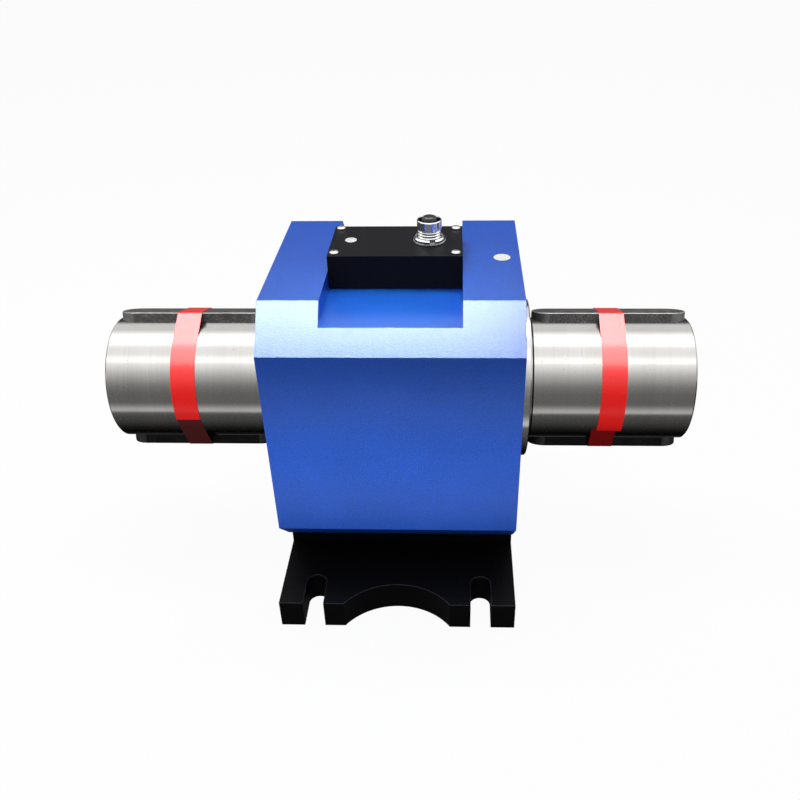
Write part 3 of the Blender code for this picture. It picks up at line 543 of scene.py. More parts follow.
def machined(name, colour, roughness, anisotropy):
    """Turned or ground steel: fine marks run round the shaft's axis, and stray specks catch the light."""
    material, shader = new_material(name, colour, 1.0, roughness)
    rings = noise(material, round_place(material, *ring_scale), 1.0, 4.0)
    bands = noise(material, round_place(material, *band_scale), 1.0)
    fine = between(material, rings, *[shaded(colour, share) for share in ring_shares])
    wire(material, clouded(material, fine, bands, band_shades), shader.inputs["Base Color"])
    stray = noise(material, place_of(material), speck_scale, 1.0)
    specks = between(material, stray, 0.0, speck_roughness, *speck_limits)
    gloss = between(material, rings, *[roughness * share for share in ring_gloss])
    wire(material, computed(material, "MAXIMUM", gloss, specks), shader.inputs["Roughness"])
    roughen(material, shader, rings, ring_depth, ring_strength)
    shader.inputs["Anisotropic"].default_value = anisotropy
    shader.inputs["Anisotropic Rotation"].default_value = 0.25
    tangent = add_node(material, "ShaderNodeTangent", direction_type="RADIAL", axis="X")
    wire(material, tangent.outputs["Tangent"], shader.inputs["Tangent"])
    return material


def stadium(length, width, low, high, steps=hole_steps):
    """A bar with round ends along X, from z = low to z = high."""
    bm = bmesh.new()
    half_step = Matrix.Rotation(pi / steps, 4, "Z")
    bmesh.ops.create_circle(bm, cap_ends=True, segments=steps, radius=width / 2,
                            matrix=Matrix.Translation((0, 0, low)) @ half_step)
    for vert in bm.verts:
        vert.co.x += (length - width) / 2 if vert.co.x > 0 else (width - length) / 2
    return push_out(bm, bm.faces[:], (0, 0, high - low))


half_profile = [
    (gauge_half, gauge_radius), (gauge_half + gauge_taper, shoulder_radius), (shoulder_x, shoulder_radius),
    (shoulder_x, seat_radius), (clip_groove[0], seat_radius), (clip_groove[0], clip_floor),
    (clip_groove[1], clip_floor), (clip_groove[1], seat_radius), (seat_end_x, seat_radius),
    (seat_end_x, shaft_radius), (relief_x - relief_half_width, shaft_radius),
    (relief_x - relief_half_width, shaft_radius - relief_depth),
    (relief_x + relief_half_width, shaft_radius - relief_depth),
    (relief_x + relief_half_width, shaft_radius), (shaft_end - end_chamfer, shaft_radius),
    (shaft_end, shaft_radius - end_chamfer), (shaft_end, centre_hole_mouth),
    (shaft_end - centre_hole_cone, centre_hole_pilot), (shaft_end - centre_hole_depth, centre_hole_pilot),
]
shaft = lathe([(-x, radius) for x, radius in reversed(half_profile)] + half_profile, shaft_steps)
keyseats = []
key_turns = {"upper": -key_angle, "lower": pi - key_angle}
for side in (-1, 1):
    for turn in key_turns.values():
        seat = stadium(key_length + 2 * fit_gap, key_width + 2 * fit_gap, keyseat_floor, 2 * shaft_radius)
        keyseats.append(move_mesh(turn_mesh(seat, turn, "X"), x=side * key_centre_x))
shaft = cut_from(shaft, *keyseats)
for face in shaft.faces:
    middle = face.calc_center_median()
    beside = abs(abs(middle.x) - relief_x) / relief_half_width
    deep = (shaft_radius - hypot(middle.y, middle.z)) / relief_depth
    in_groove = beside < groove_reach and groove_depths[0] < deep < groove_depths[1]
    face.material_index = 1 if in_groove else 0
move_mesh(shaft, z=axis_height)
shaft_finish = [machined("ground_steel", GROUND_STEEL, roughness=0.20, anisotropy=0.7),
                machined("groove_shade", GROOVE_SHADE, roughness=0.55, anisotropy=0.0)]
bare_shaft = set_piece("shaft", shaft, shaft_finish, ["torsion_shaft"], "rotor")


# Measuring gear inside the housing: gauges and their board on the thin middle, coils and a bearing each side.
# These stay as their solids. Only their finish is given here, since the closed housing hides them.
RACE_STEEL = (0.62, 0.62, 0.64, 1.0)
SPRING_STEEL = (0.30, 0.29, 0.28, 1.0)
CAGE_BRASS = (0.62, 0.44, 0.15, 1.0)
COIL_COPPER = (0.58, 0.24, 0.09, 1.0)
BOARD_GREEN = (0.015, 0.17, 0.05, 1.0)
GAUGE_FILM = (0.62, 0.36, 0.08, 1.0)
LEAD_BLACK = (0.02, 0.02, 0.02, 1.0)
# Plastic's darkest grain as a share of its own colour, and its glossiest and dullest grain.
plastic_share = 0.88
plastic_gloss = (-0.05, 0.05)
plastic_strength = 0.5


def dress(nodes, material):
    for node in nodes:
        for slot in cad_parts[node].material_slots:
            slot.material = material


def plastic(name, colour, roughness, scale=900.0, depth=0.00003):
    """Moulded or coated stuff with a faint grain."""
    material, shader = new_material(name, colour, 0.0, roughness)
    grain = noise(material, place_of(material), scale, 2.0)
    wire(material, between(material, grain, shaded(colour, plastic_share), colour),
         shader.inputs["Base Color"])
    wire(material, between(material, grain, *[roughness + change for change in plastic_gloss]),
         shader.inputs["Roughness"])
    roughen(material, shader, grain, depth, plastic_strength)
    return material


sides = {"left": -1, "right": 1}
four = range(1, 5)
dress([f"{side}_{ring}_ring" for side in sides for ring in ("inner", "outer")],
      metal("bearing_race", RACE_STEEL, roughness=0.16))
dress([f"{side}_retaining_ring" for side in sides], metal("spring_clip", SPRING_STEEL, roughness=0.34))
dress([f"{side}_ball_cage" for side in sides], metal("cage_metal", CAGE_BRASS, roughness=0.30))
dress([f"{side}_{coil}_coil" for side in sides for coil in ("rotor", "stator")],
      metal("wound_copper", COIL_COPPER, roughness=0.36, scale=2600.0, depth=0.00008))
dress(["rotor_board", "signal_board"], plastic("board_lacquer", BOARD_GREEN, roughness=0.38))
dress([f"gauge_{number}" for number in four], plastic("gauge_film", GAUGE_FILM, roughness=0.35))
dress([f"{side}_coil_lead" for side in sides], plastic("lead_sleeve", LEAD_BLACK, roughness=0.5))
dress([f"board_screw_{number}" for number in four], screw_finish[0])


# Bearing caps: turned steel rings that hold the bearings. The flange lies in the housing's recess on four
# screws, and the bright neck stands out round the shaft, with a rubber seal inside it.
cap_inner = 0.0728
cap_spigot = 0.0777
cap_flange = 0.091
cap_flange_x = 0.085
cap_neck = 0.0655
cap_neck_x = 0.1045
cap_neck_chamfer = 0.0008
cap_web = 0.0590
cap_web_x = (0.0826, 0.0921)
cap_edge = 0.0004
seal_outer = 0.060
seal_x = (0.0924, 0.1039)
seal_lip = 0.0029
cap_screw_circle = 0.0845
cap_screw_seat = 0.0887
cap_screw_hole = 0.0033
cap_screw_counterbore = 0.0053
cap_screw_shank = 0.003
cap_screw_head = 0.005
cap_screw_head_height = 0.006
cap_screw_length = 0.0177
cap_screw_socket = 0.0029
CAP_STEEL = (0.66, 0.66, 0.66, 1.0)
SEAL_RUBBER = (0.016, 0.016, 0.016, 1.0)
cap_finish = machined("turned_cap", CAP_STEEL, roughness=0.17, anisotropy=0.6)
seal_finish = plastic("seal_rubber", SEAL_RUBBER, roughness=0.62)
cap_screw = turn_mesh(socket_screw(cap_screw_shank, cap_screw_length, cap_screw_head, cap_screw_head_height,
                                   cap_screw_socket), pi / 2, "Y")
screw_turns = [pi / 4 + number * pi / 2 for number in range(4)]


def facing(bm, side):
    """Turns what was made for the right end to the end on this side, at the shaft's height."""
    return move_mesh(turn_mesh(bm, 0.0 if side > 0 else pi, "Z"), z=axis_height)


for side_name, side in sides.items():
    cap = lathe([(shoulder_x, cap_inner), (shoulder_x, cap_spigot), (cap_flange_x, cap_spigot),
                 (cap_flange_x, cap_flange), (housing_side - cap_edge, cap_flange),
                 (housing_side, cap_flange - cap_edge), (housing_side, cap_neck),
                 (cap_neck_x - cap_neck_chamfer, cap_neck), (cap_neck_x, cap_neck - cap_neck_chamfer),
                 (cap_neck_x, seal_outer + cap_edge), (cap_neck_x - cap_edge, seal_outer),
                 (cap_web_x[1], seal_outer), (cap_web_x[1], cap_web), (cap_web_x[0], cap_web),
                 (cap_web_x[0], cap_inner)], 2 * round_steps, ring=True)
    holes = []
    for turn in screw_turns:
        hole = lathe([(shoulder_x, cap_screw_hole), (cap_screw_seat, cap_screw_hole),
                            (cap_screw_seat, cap_screw_counterbore),
                            (housing_side - cap_edge, cap_screw_counterbore),
                            (housing_side + overrun, cap_screw_counterbore + cap_edge + overrun)], hole_steps)
        holes.append(turn_mesh(move_mesh(hole, z=cap_screw_circle), turn, "X"))
    set_piece(f"{side_name}_cap", facing(cut_from(cap, *holes), side), [cap_finish],
              [f"{side_name}_bearing_cap"])

    seal = lathe([(seal_x[0], shaft_radius + fit_gap), (seal_x[0], seal_outer - fit_gap),
                  (seal_x[1] - cap_edge, seal_outer - fit_gap), (seal_x[1], seal_outer - 2 * fit_gap),
                  (seal_x[1], seal_outer - seal_lip), (seal_x[1] - seal_lip / 2, seal_outer - 1.5 * seal_lip),
                  (seal_x[1] - seal_lip / 4, shaft_radius + seal_lip),
                  (seal_x[1] - seal_lip, shaft_radius + fit_gap)], 2 * round_steps, ring=True)
    set_piece(f"{side_name}_seal", facing(seal, side), [seal_finish],
              [f"{side_name}_shaft_seal"])

    for number in four:
        low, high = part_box(f"{side_name}_cap_screw_{number}")
        centre = (low + high) / 2
        copy = turn_mesh(cap_screw.copy(), 0.0 if side > 0 else pi, "Z")
        move_mesh(copy, side * (cap_screw_seat + fit_gap), centre.y, centre.z)
        set_piece(f"{side_name}_flange_screw_{number}", copy, screw_finish,
                  [f"{side_name}_cap_screw_{number}"])
cap_screw.free()


# Keys: feather keys with round ends, milled from bright bar and left with a dark oxide skin.
# Two at each end lie in the shaft's keyseats, half a turn apart. The lower keys' sides, edges and round ends
# carry painted shade; the upper keys' round ends carry a painted highlight, and their top edges rubbed metal with
# a painted highlight.
key_edge = 0.0009
OXIDE_STEEL = (0.095, 0.092, 0.090, 1.0)
OXIDE_WORN = (0.34, 0.33, 0.325, 1.0)
# Rubbed metal with a painted highlight, for the upper keys' top edges.
OXIDE_RUBBED_LIT_CORNER = (0.52, 0.51, 0.50, 1.0)
# Painted shade for the lower keys' sides and edges.
OXIDE_SHADED = (0.012, 0.012, 0.012, 1.0)
OXIDE_SHADED_SPECK = (0.030, 0.029, 0.028, 1.0)
# A painted highlight on the round ends, over painted shade on the lower keys.
OXIDE_LIT_END = (0.20, 0.198, 0.195, 1.0)
OXIDE_SHADED_LIT_END = (0.055, 0.054, 0.053, 1.0)
oxide_metallic = 0.92
oxide_roughness = (0.38, 0.56)
oxide_depth = 0.00004
oxide_strength = 0.6
# The specks that are worn through, and soft clouds over them: how many to the metre, and their limits.
worn_scale = 1300.0
worn_limits = (0.48, 0.74)
oxide_cloud_scale = 120.0
oxide_clouds = ((0.80, 0.80, 0.80, 1.0), (1.15, 1.15, 1.15, 1.0))
# A face that looks upwards at least this much is a key's flat top.
flat_from = 0.99


def oxide(name, skin, worn):
    """Steel with a thin dark skin, worn through in small specks."""
    material, shader = new_material(name, skin, oxide_metallic, sum(oxide_roughness) / 2)
    place = place_of(material)
    specks = noise(material, place, worn_scale, 4.0)
    clouds = noise(material, place, oxide_cloud_scale)
    speckled = between(material, specks, skin, worn, *worn_limits)
    wire(material, clouded(material, speckled, clouds, oxide_clouds), shader.inputs["Base Color"])
    wire(material, between(material, specks, *oxide_roughness), shader.inputs["Roughness"])
    roughen(material, shader, specks, oxide_depth, oxide_strength)
    return material


oxide_skin = oxide("oxide_skin", OXIDE_STEEL, OXIDE_WORN)
oxide_rubbed_lit_edge = oxide("oxide_rubbed_lit_edge", OXIDE_WORN, OXIDE_RUBBED_LIT_CORNER)
oxide_shaded = oxide("oxide_shaded", OXIDE_SHADED, OXIDE_SHADED_SPECK)
oxide_lit_end = oxide("oxide_lit_end", OXIDE_LIT_END, OXIDE_WORN)
oxide_shaded_lit_end = oxide("oxide_shaded_lit_end", OXIDE_SHADED_LIT_END, OXIDE_STEEL)
# The lower keys carry painted shade; the upper keys' round ends and top edges carry a painted highlight.
key_finish = {"upper": [oxide_skin, oxide_rubbed_lit_edge, oxide_skin, oxide_lit_end],
              "lower": [oxide_shaded, oxide_shaded, oxide_skin, oxide_shaded_lit_end]}
for side_name, side in sides.items():
    for level, turn in key_turns.items():
        key = stadium(key_length, key_width, keyseat_floor + fit_gap, key_top_radius, round_steps)
        soften_edges(key, key_edge, 3)
        key.normal_update()
        for face in key.faces:
            at_end = abs(face.calc_center_median().x) > (key_length - key_width) / 2
            if face.normal.z > flat_from:
                face.material_index = 2
            elif at_end and face.material_index == 0:
                face.material_index = 3
        move_mesh(turn_mesh(key, turn, "X"), side * key_centre_x, 0, axis_height)
        piece = set_piece(f"key_{side_name}_{level}", key, key_finish[level],
                          [f"{side_name}_{level}_key"], "rotor")
        # In the photograph the polished shaft mirrors no key, so reflections leave the keys out.
        piece.visible_glossy = False


# Tapes: red plastic tape, wound nearly two turns round the shaft and its keys, so that the keys stay in for
# transport. It goes straight from each key's edge to the shaft, and shows darker where it lies in one layer, on
# the right also by painted shade.
tape_width = 0.0198
tape_thickness = 0.00018
tape_lift = 0.00005
tape_turning = radians(645)
tape_step = radians(1.0)
tape_ramp = radians(6)
tape_tuck = radians(5)
tape_smooth = radians(50)
TAPE_RED = (0.95, 0.003, 0.001, 1.0)
# One layer shows darker; on the right the red also carries painted shade.
TAPE_SINGLE_AND_SHADED = {"left": (0.085, 0.012, 0.012, 1.0), "right": (0.22, 0.002, 0.003, 1.0)}
# Each tape's middle along X, the turn of its outer end, and how far the layer below comes out beside it.
tapes = {"left": (-0.1720, radians(122.6), 0.0), "right": (0.1708, radians(136.5), 0.0038)}
tape_grain_scale = 1400.0
tape_grain_share = 0.82
tape_grain_limits = (0.25, 0.6)
tape_gloss = (-0.05, 0.06)
tape_mirror = 0.2
# Long soft waves, drawn out round the shaft.
wave_scale = 260.0
wave_stretch = (1.0, 0.25, 0.25)
wave_depth = 0.00005
wave_strength = 0.35


def tape_distance(turn, grow):
    """How far from the axis the tape lies at this turn from the upper key's middle, grown outwards."""
    corner_out, corner_up = key_width / 2 + grow, key_top_radius + grow
    corner = atan2(corner_out, corner_up)
    touch = corner + acos((shaft_radius + grow) / hypot(corner_out, corner_up))
    folded = min(turn % pi, pi - turn % pi)
    if folded < corner:
        return corner_up / cos(folded)
    if folded < touch:
        return (shaft_radius + grow) / cos(touch - folded)
    return shaft_radius + grow


def tape_path(bm, x, first_turn, aside, extra):
    """The tape's course from its outer end inwards, as a chain of edges.

    Where it runs under its own outer end it lies this far aside.
    """
    steps = round(tape_turning / tape_step)
    corners = []
    for number in range(steps + 1):
        passed = tape_turning * number / steps
        over = min(max((tape_turning - 2 * pi + tape_ramp - passed) / tape_ramp, 0.0), 1.0)
        grow = tape_lift + over * (tape_thickness + tape_lift) + extra
        turn = first_turn - passed
        out = tape_distance(turn, grow)
        drift = aside * min(max(min(passed / pi - 1.0, (2 * pi + tape_tuck - passed) / tape_tuck), 0.0), 1.0)
        corners.append(bm.verts.new((x - drift, -out * sin(turn), out * cos(turn))))
    return [bm.edges.new(pair) for pair in zip(corners, corners[1:])]


def taped(name, colour, roughness, coat, coat_roughness):
    """Smooth plastic film with long soft waves."""
    material, shader = new_material(name, colour, 0.0, roughness)
    waves = noise(material, place_of(material, wave_stretch), wave_scale, 2.0)
    grain = noise(material, place_of(material), tape_grain_scale, 2.0)
    wire(material, between(material, grain, shaded(colour, tape_grain_share), colour, *tape_grain_limits),
         shader.inputs["Base Color"])
    wire(material, between(material, grain, *[roughness + change for change in tape_gloss]),
         shader.inputs["Roughness"])
    roughen(material, shader, waves, wave_depth, wave_strength)
    coated(shader, coat, coat_roughness, tape_mirror)
    return material


double_finish = taped("red_tape_double", TAPE_RED, roughness=0.45, coat=1.0, coat_roughness=0.26)
taped_pieces = []
for side_name, (x, first_turn, aside) in tapes.items():
    band = bmesh.new()
    chains = [tape_path(band, x - tape_width / 2, first_turn, aside, extra)
              for extra in (0.0, tape_thickness)]
    double = round((tape_turning - 2 * pi) / tape_step)
    bridged = bmesh.ops.bridge_loops(band, edges=chains[0] + chains[1])
    single = {vert for chain in chains for edge in chain[double:] for vert in edge.verts}
    for face in bridged["faces"]:
        face.material_index = 1 if all(vert in single for vert in face.verts) else 0
    push_out(band, bridged["faces"], (tape_width, 0, 0))
    move_mesh(turn_mesh(band, -key_angle, "X"), z=axis_height)
    single_and_shaded_finish = taped(f"red_tape_single_and_shaded_{side_name}", TAPE_SINGLE_AND_SHADED[side_name], roughness=0.40, coat=0.3,
                          coat_roughness=0.30)
    taped_pieces.append(set_piece(f"{side_name}_key_tape", band, [double_finish, single_and_shaded_finish],
                                  [f"{side_name}_tape"], "rotor", tape_smooth))


# Junction box: a cover milled from solid aluminium and anodised black, open below, in the housing's channel.
# Its hollow leaves thick corners for the four screws that reach down into the housing.
box_wall = 0.0045
box_roof = 0.005
box_corner_boss = 0.012
box_edge = 0.0004
box_screw_hole = 0.0023
box_low, box_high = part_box("junction_box")
box_middle_y = (box_low.y + box_high.y) / 2
connector_x = 0.0252
connector_hole = 0.0093
plug_x = -0.0353
plug_hole = 0.0031
BOX_ANODISE = (0.0048, 0.0046, 0.0062, 1.0)
hollow = block((box_low.x + box_wall, box_low.y + box_wall, box_low.z - overrun),
               (box_high.x - box_wall, box_high.y - box_wall, box_high.z - box_roof))
upright_edges = [edge for edge in hollow.edges if abs(edge.verts[0].co.z - edge.verts[1].co.z) > overrun]
bevel(hollow, upright_edges, box_corner_boss)


def drill_hole(radius, x, y):
    drill = lathe([(channel_floor, radius), (box_high.z + overrun, radius)], hole_steps)
    return move_mesh(upright(drill), x, y)


cover_screw_places = []
for number in four:
    low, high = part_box(f"box_screw_{number}")
    cover_screw_places.append(((low.x + high.x) / 2, (low.y + high.y) / 2))
drills = [drill_hole(box_screw_hole, x, y) for x, y in cover_screw_places]
drills.append(drill_hole(connector_hole, connector_x, box_middle_y))
drills.append(drill_hole(plug_hole, plug_x, box_middle_y))
cover = soften_edges(cut_from(block(box_low, box_high), hollow, *drills), box_edge)
cover_finish = anodised("box_anodise", BOX_ANODISE, BLACK_RUBBED_EDGE_AND_HIGHLIGHT, metallic=0.0, roughness=0.42, coat=0.0,
                        coat_roughness=0.28, specular=0.08)
set_piece("box_cover", cover, cover_finish, ["junction_box"])



# Box screws: four plated steel screws with low domed heads, through the cover into the housing.
# Each has a cross recess, and each stopped at a turn of its own when it was tightened.
dome_screw_shank = 0.002
dome_screw_length = 0.0362
dome_screw_head = 0.0035
dome_screw_height = 0.0018
# The dome's curve, as shares of the head's height and radius.
dome_curve = [(0.45, 1.0), (0.75, 0.90), (0.92, 0.68), (1.0, 0.36)]
cross_length = 0.0028
cross_width = 0.0006
cross_depth = 0.0008
# Degrees of the first cross recess, and from one to the next.
cross_start = 20
cross_step = 37
BRIGHT_ZINC = (0.72, 0.72, 0.70, 1.0)
dome = upright(lathe([(-dome_screw_length, dome_screw_shank), (0, dome_screw_shank), (0, dome_screw_head),
                      *[(height * dome_screw_height, radius * dome_screw_head)
                        for height, radius in dome_curve]], hole_steps))
half_length, half_width = cross_length / 2, cross_width / 2
cross_floor = dome_screw_height - cross_depth
crosses = [block((-a, -b, cross_floor), (a, b, dome_screw_height + cross_depth))
           for a, b in ((half_length, half_width), (half_width, half_length))]
dome = cut_from(dome, *crosses)
cover_screw_finish = metal("bright_screw", BRIGHT_ZINC, roughness=0.28)
for number, (x, y) in enumerate(cover_screw_places, start=1):
    copy = turn_mesh(dome.copy(), radians(cross_start + cross_step * number), "Z")
    move_mesh(copy, x, y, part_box(f"box_screw_{number}")[1].z - dome_screw_height)
    set_piece(f"cover_screw_{number}", copy, [cover_screw_finish], [f"box_screw_{number}"])
dome.free()


# Plug: a moulded white plastic cap with a short stem.
# It is pressed into the cover's small hole, over the adjusting screw.
plug_head = 0.0045
plug_head_height = 0.0008
plug_stem = 0.0028
plug_lead_in = 0.0006
plug_taper = 0.0004
small_round_steps = 64
PLUG_WHITE = (0.84, 0.84, 0.83, 1.0)
plug_low, plug_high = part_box("adjuster_plug")
plug_seat = plug_high.z - plug_head_height
# The head's rounded edge: height over the cover, and how far in from the full radius.
plug_edge = [(0.0, 0.0), (0.0004, 0.0), (0.0007, 0.0004), (plug_head_height, 0.0009)]
plug = upright(lathe([(plug_low.z, plug_stem - plug_taper), (plug_low.z + plug_lead_in, plug_stem),
                      (plug_seat, plug_stem),
                      *[(plug_seat + height, plug_head - inwards) for height, inwards in plug_edge]],
                     small_round_steps))
white_plastic = plastic("white_plastic", PLUG_WHITE, roughness=0.38)
set_piece("hole_plug", move_mesh(plug, plug_x, box_middle_y), [white_plastic],
          ["adjuster_plug"])


# Signal connector: a plated brass socket, clamped in the cover by a slotted ring nut on its thread.
# Inside the sleeve stands a moulded black insert with its contact holes.
socket_low, socket_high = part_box("connector_socket")
insert_low, insert_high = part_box("connector_insert")
nut_low, nut_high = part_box("connector_nut")
roof_underside = box_high.z - box_roof
socket_tail = 0.007
socket_flange = 0.0115
flange_thickness = 0.002
flange_top = roof_underside - fit_gap
flange_bottom = flange_top - flange_thickness
thread_radius = 0.0092
thread_depth = 0.0008
thread_pitch = 0.0021
# One ring of the thread, from its root: share of the pitch, and depth under the crest.
thread_ring = [(0.0, thread_depth), (0.25, thread_depth), (0.35, 0.0), (0.60, 0.0)]
thread_end = box_high.z + 0.0082
collar_top = box_high.z + 0.0100
sleeve_radius = 0.0094
sleeve_mouth = 0.0091
sleeve_taper = 0.0006
sleeve_bore = 0.0082
rim_round = 0.0002
sleeve_floor = insert_low.z - fit_gap
SHELL_NICKEL = (0.80, 0.81, 0.82, 1.0)
threads = []
z = flange_top
while z < thread_end:
    threads += [(z + share * thread_pitch, thread_radius - depth) for share, depth in thread_ring]
    z += thread_pitch
socket_shell = upright(lathe([
    (socket_low.z, socket_tail), (flange_bottom, socket_tail), (flange_bottom, socket_flange),
    (flange_top, socket_flange), *threads, (z, thread_radius - thread_depth),
    (z + rim_round, thread_radius), (collar_top - rim_round, thread_radius),
    (collar_top, thread_radius - rim_round), (collar_top, sleeve_radius - rim_round),
    (collar_top + rim_round, sleeve_radius - rim_round), (collar_top + 2 * rim_round, sleeve_radius),
    (socket_high.z - sleeve_taper, sleeve_radius), (socket_high.z - rim_round, sleeve_mouth),
    (socket_high.z, sleeve_mouth - rim_round), (socket_high.z, sleeve_bore + rim_round),
    (socket_high.z - rim_round, sleeve_bore), (sleeve_floor, sleeve_bore)]))
plated_shell = metal("plated_shell", SHELL_NICKEL, roughness=0.13, scale=2400.0, depth=0.000008)
set_piece("socket_shell", move_mesh(socket_shell, connector_x, box_middle_y), [plated_shell],
          ["connector_socket"])

insert_radius = 0.0060
insert_round = 0.0032
round_points = 6
contact_circle = 0.0031
contact_hole = 0.00075
contact_depth = 0.004
contact_count = 7
contact_steps = 20
INSERT_BLACK = (0.014, 0.014, 0.015, 1.0)
shoulder = [(insert_high.z - insert_round * (1 - sin(turn)), insert_radius - insert_round * (1 - cos(turn)))
            for turn in (pi / 2 * step / round_points for step in range(round_points + 1))]
insert = upright(lathe([(insert_low.z, insert_radius), *shoulder], small_round_steps))
contact_turns = [2 * pi * number / contact_count for number in range(contact_count)]
contact_places = [(0.0, 0.0)] + [(contact_circle * cos(turn), contact_circle * sin(turn))
                                 for turn in contact_turns]
contacts = []
for x, y in contact_places:
    hole = lathe([(insert_high.z - contact_depth, contact_hole), (insert_high.z + overrun, contact_hole)],
                 contact_steps)
    contacts.append(move_mesh(upright(hole), x, y))
insert = move_mesh(cut_from(insert, *contacts), connector_x, box_middle_y)
black_plastic = plastic("black_plastic", INSERT_BLACK, roughness=0.34)
set_piece("socket_insert", insert, [black_plastic], ["connector_insert"])

nut_radius = 0.0119
nut_bore = 0.0093
nut_edge = 0.00012
nut_chamfer = 0.0010
washer_radius = 0.0125
washer_thickness = 0.0006
nut_slot_width = 0.0045
nut_slot_depth = 0.0020
nut_turn = radians(13.5)
# The nut's chamfer and broken edges look upwards less than this, and its top more. Those edges take a painted
# highlight.
nut_top_from = 0.95
NUT_NICKEL = (0.62, 0.63, 0.65, 1.0)
# A painted highlight for the chamfer and broken edges.
NUT_EDGE_HIGHLIGHT = (0.86, 0.87, 0.88, 1.0)
washer_top = nut_low.z + washer_thickness
nut = upright(lathe([(nut_low.z, nut_bore), (nut_low.z, washer_radius), (washer_top, washer_radius),
                     (washer_top, nut_radius), (nut_high.z - nut_chamfer, nut_radius),
                     (nut_high.z, nut_radius - nut_chamfer), (nut_high.z, nut_bore)], ring=True))
slots = []
for quarter in range(4):
    slot = block((-nut_slot_width / 2, -2 * nut_radius, washer_top),
                 (nut_slot_width / 2, nut_slot_depth - nut_radius, nut_high.z + overrun))
    slots.append(turn_mesh(slot, nut_turn + quarter * pi / 2, "Z"))
nut = soften_edges(cut_from(nut, *slots), nut_edge, 1)
for face in nut.faces:
    face.material_index = 1 if rubbed_and_lit_from < face.normal.z < nut_top_from else 0
nut_finish = [metal("plated_nut", NUT_NICKEL, roughness=0.24, scale=2400.0, depth=0.00001),
              metal("plated_nut_highlight", NUT_EDGE_HIGHLIGHT, roughness=0.16, scale=2400.0, depth=0.00001)]
set_piece("socket_nut", move_mesh(nut, connector_x, box_middle_y), nut_finish,
          ["connector_nut"])


# Sticker: a round label of white paper, left blank.
# Its glue holds it flat on the housing's top, beside the channel.
label_radius = 0.0065
label_edge = 0.0001
PAPER_WHITE = (0.86, 0.86, 0.85, 1.0)
label_low, label_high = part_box("blank_sticker")
label_centre = (label_low + label_high) / 2
label = upright(lathe([(label_low.z, label_radius), (label_centre.z, label_radius),
                       (label_high.z, label_radius - label_edge)], small_round_steps))
paper = plastic("label_paper", PAPER_WHITE, roughness=0.6, scale=1600.0, depth=0.00001)
set_piece("round_label", move_mesh(label, label_centre.x, label_centre.y), [paper],
          ["blank_sticker"])


# Studio: a white paper floor under a white surround, with light from all round it.
# The camera and polished metal see both as plain white, while what they throw on the object is weaker.
floor_size = 8.0
floor_drop = 0.0002
floor_glow = 0.955
floor_roughness = 0.9
surround_light = 0.14
FLOOR_WHITE = (0.85, 0.85, 0.85, 1.0)
FLOOR_BOUNCE = (0.35, 0.35, 0.35, 1.0)


def seen_directly(owner):
    """1 for what the camera sees, straight or in metal or glass, and 0 for light that scatters."""
    path = add_node(owner, "ShaderNodeLightPath")
    either = computed(owner, "MAXIMUM", path.outputs["Is Camera Ray"], path.outputs["Is Glossy Ray"])
    return computed(owner, "MAXIMUM", either, path.outputs["Is Transmission Ray"])


def flat_sheet(name, size_x, size_y, matrix):
    bm = bmesh.new()
    bmesh.ops.create_grid(bm, x_segments=1, y_segments=1, size=0.5,
                          matrix=matrix @ Matrix.Diagonal((size_x, size_y, 1.0, 1.0)))
    sheet = to_object(name, bm)
    return sheet


floor = flat_sheet("studio_floor", floor_size, floor_size, Matrix.Translation((0, 0, -floor_drop)))
paper, floor_shader = new_material("floor_paper", FLOOR_WHITE, 0.0, floor_roughness)
floor_shader.inputs["Specular IOR Level"].default_value = 0.0
bounced = add_node(paper, "ShaderNodeLightPath").outputs["Is Diffuse Ray"]
wire(paper, mixed(paper, bounced, FLOOR_WHITE, FLOOR_BOUNCE), floor_shader.inputs["Base Color"])
glow = add_node(paper, "ShaderNodeEmission", Strength=1.0)
blend = add_node(paper, "ShaderNodeMixShader")
wire(paper, computed(paper, "MULTIPLY", seen_directly(paper), floor_glow), blend.inputs["Fac"])
wire(paper, floor_shader.outputs["BSDF"], blend.inputs[1])
wire(paper, glow.outputs["Emission"], blend.inputs[2])
wire(paper, blend.outputs["Shader"], paper.node_tree.nodes["Material Output"].inputs["Surface"])
floor.data.materials.append(paper)

world = bpy.data.worlds.new("studio")
bpy.context.scene.world = world
world.use_nodes = True
surround = world.node_tree.nodes["Background"]
surround.inputs["Color"].default_value = (1.0, 1.0, 1.0, 1.0)
wire(world, between(world, seen_directly(world), surround_light, 1.0, 0.0, 1.0), surround.inputs["Strength"])


# Studio cards: what the bright steel mirrors. Black cloth lies under the object with a white strip beyond it,
# a grey screen stands on either long side, and a white sheet hangs over it. Only reflections show them.
card_strength = 3.0
side_distance = 2.5
side_height = 3.6
side_width = 5.0
sheet_height = 1.95
sheet_edge = 1.28
# Brightness by distance in metres from the cloth's middle, the screens' feet and the sheet's front edge.
cloth_stops = [(0.0, 0.0), (0.05, 0.005), (0.111, 0.026), (0.173, 0.040), (0.203, 0.045), (0.211, 0.26),
               (0.240, 0.25), (0.32, 0.12), (0.40, 0.060), (2.4, 0.07)]
screens = {"front": (-1, [(0.0, 0.06), (0.73, 0.10), (1.85, 0.26), (2.50, 0.37), (3.30, 0.47)]),
           "back": (1, [(0.0, 0.02), (1.30, 0.02), (1.40, 0.06), (1.50, 0.22), (1.62, 0.36), (2.30, 0.34)])}
sheet_stops = [(0.0, 0.66), (0.40, 0.66), (0.66, 0.47), (1.20, 0.47), (1.60, 0.95), (1.85, 0.95),
               (2.25, 0.55), (2 * sheet_edge, 0.42)]


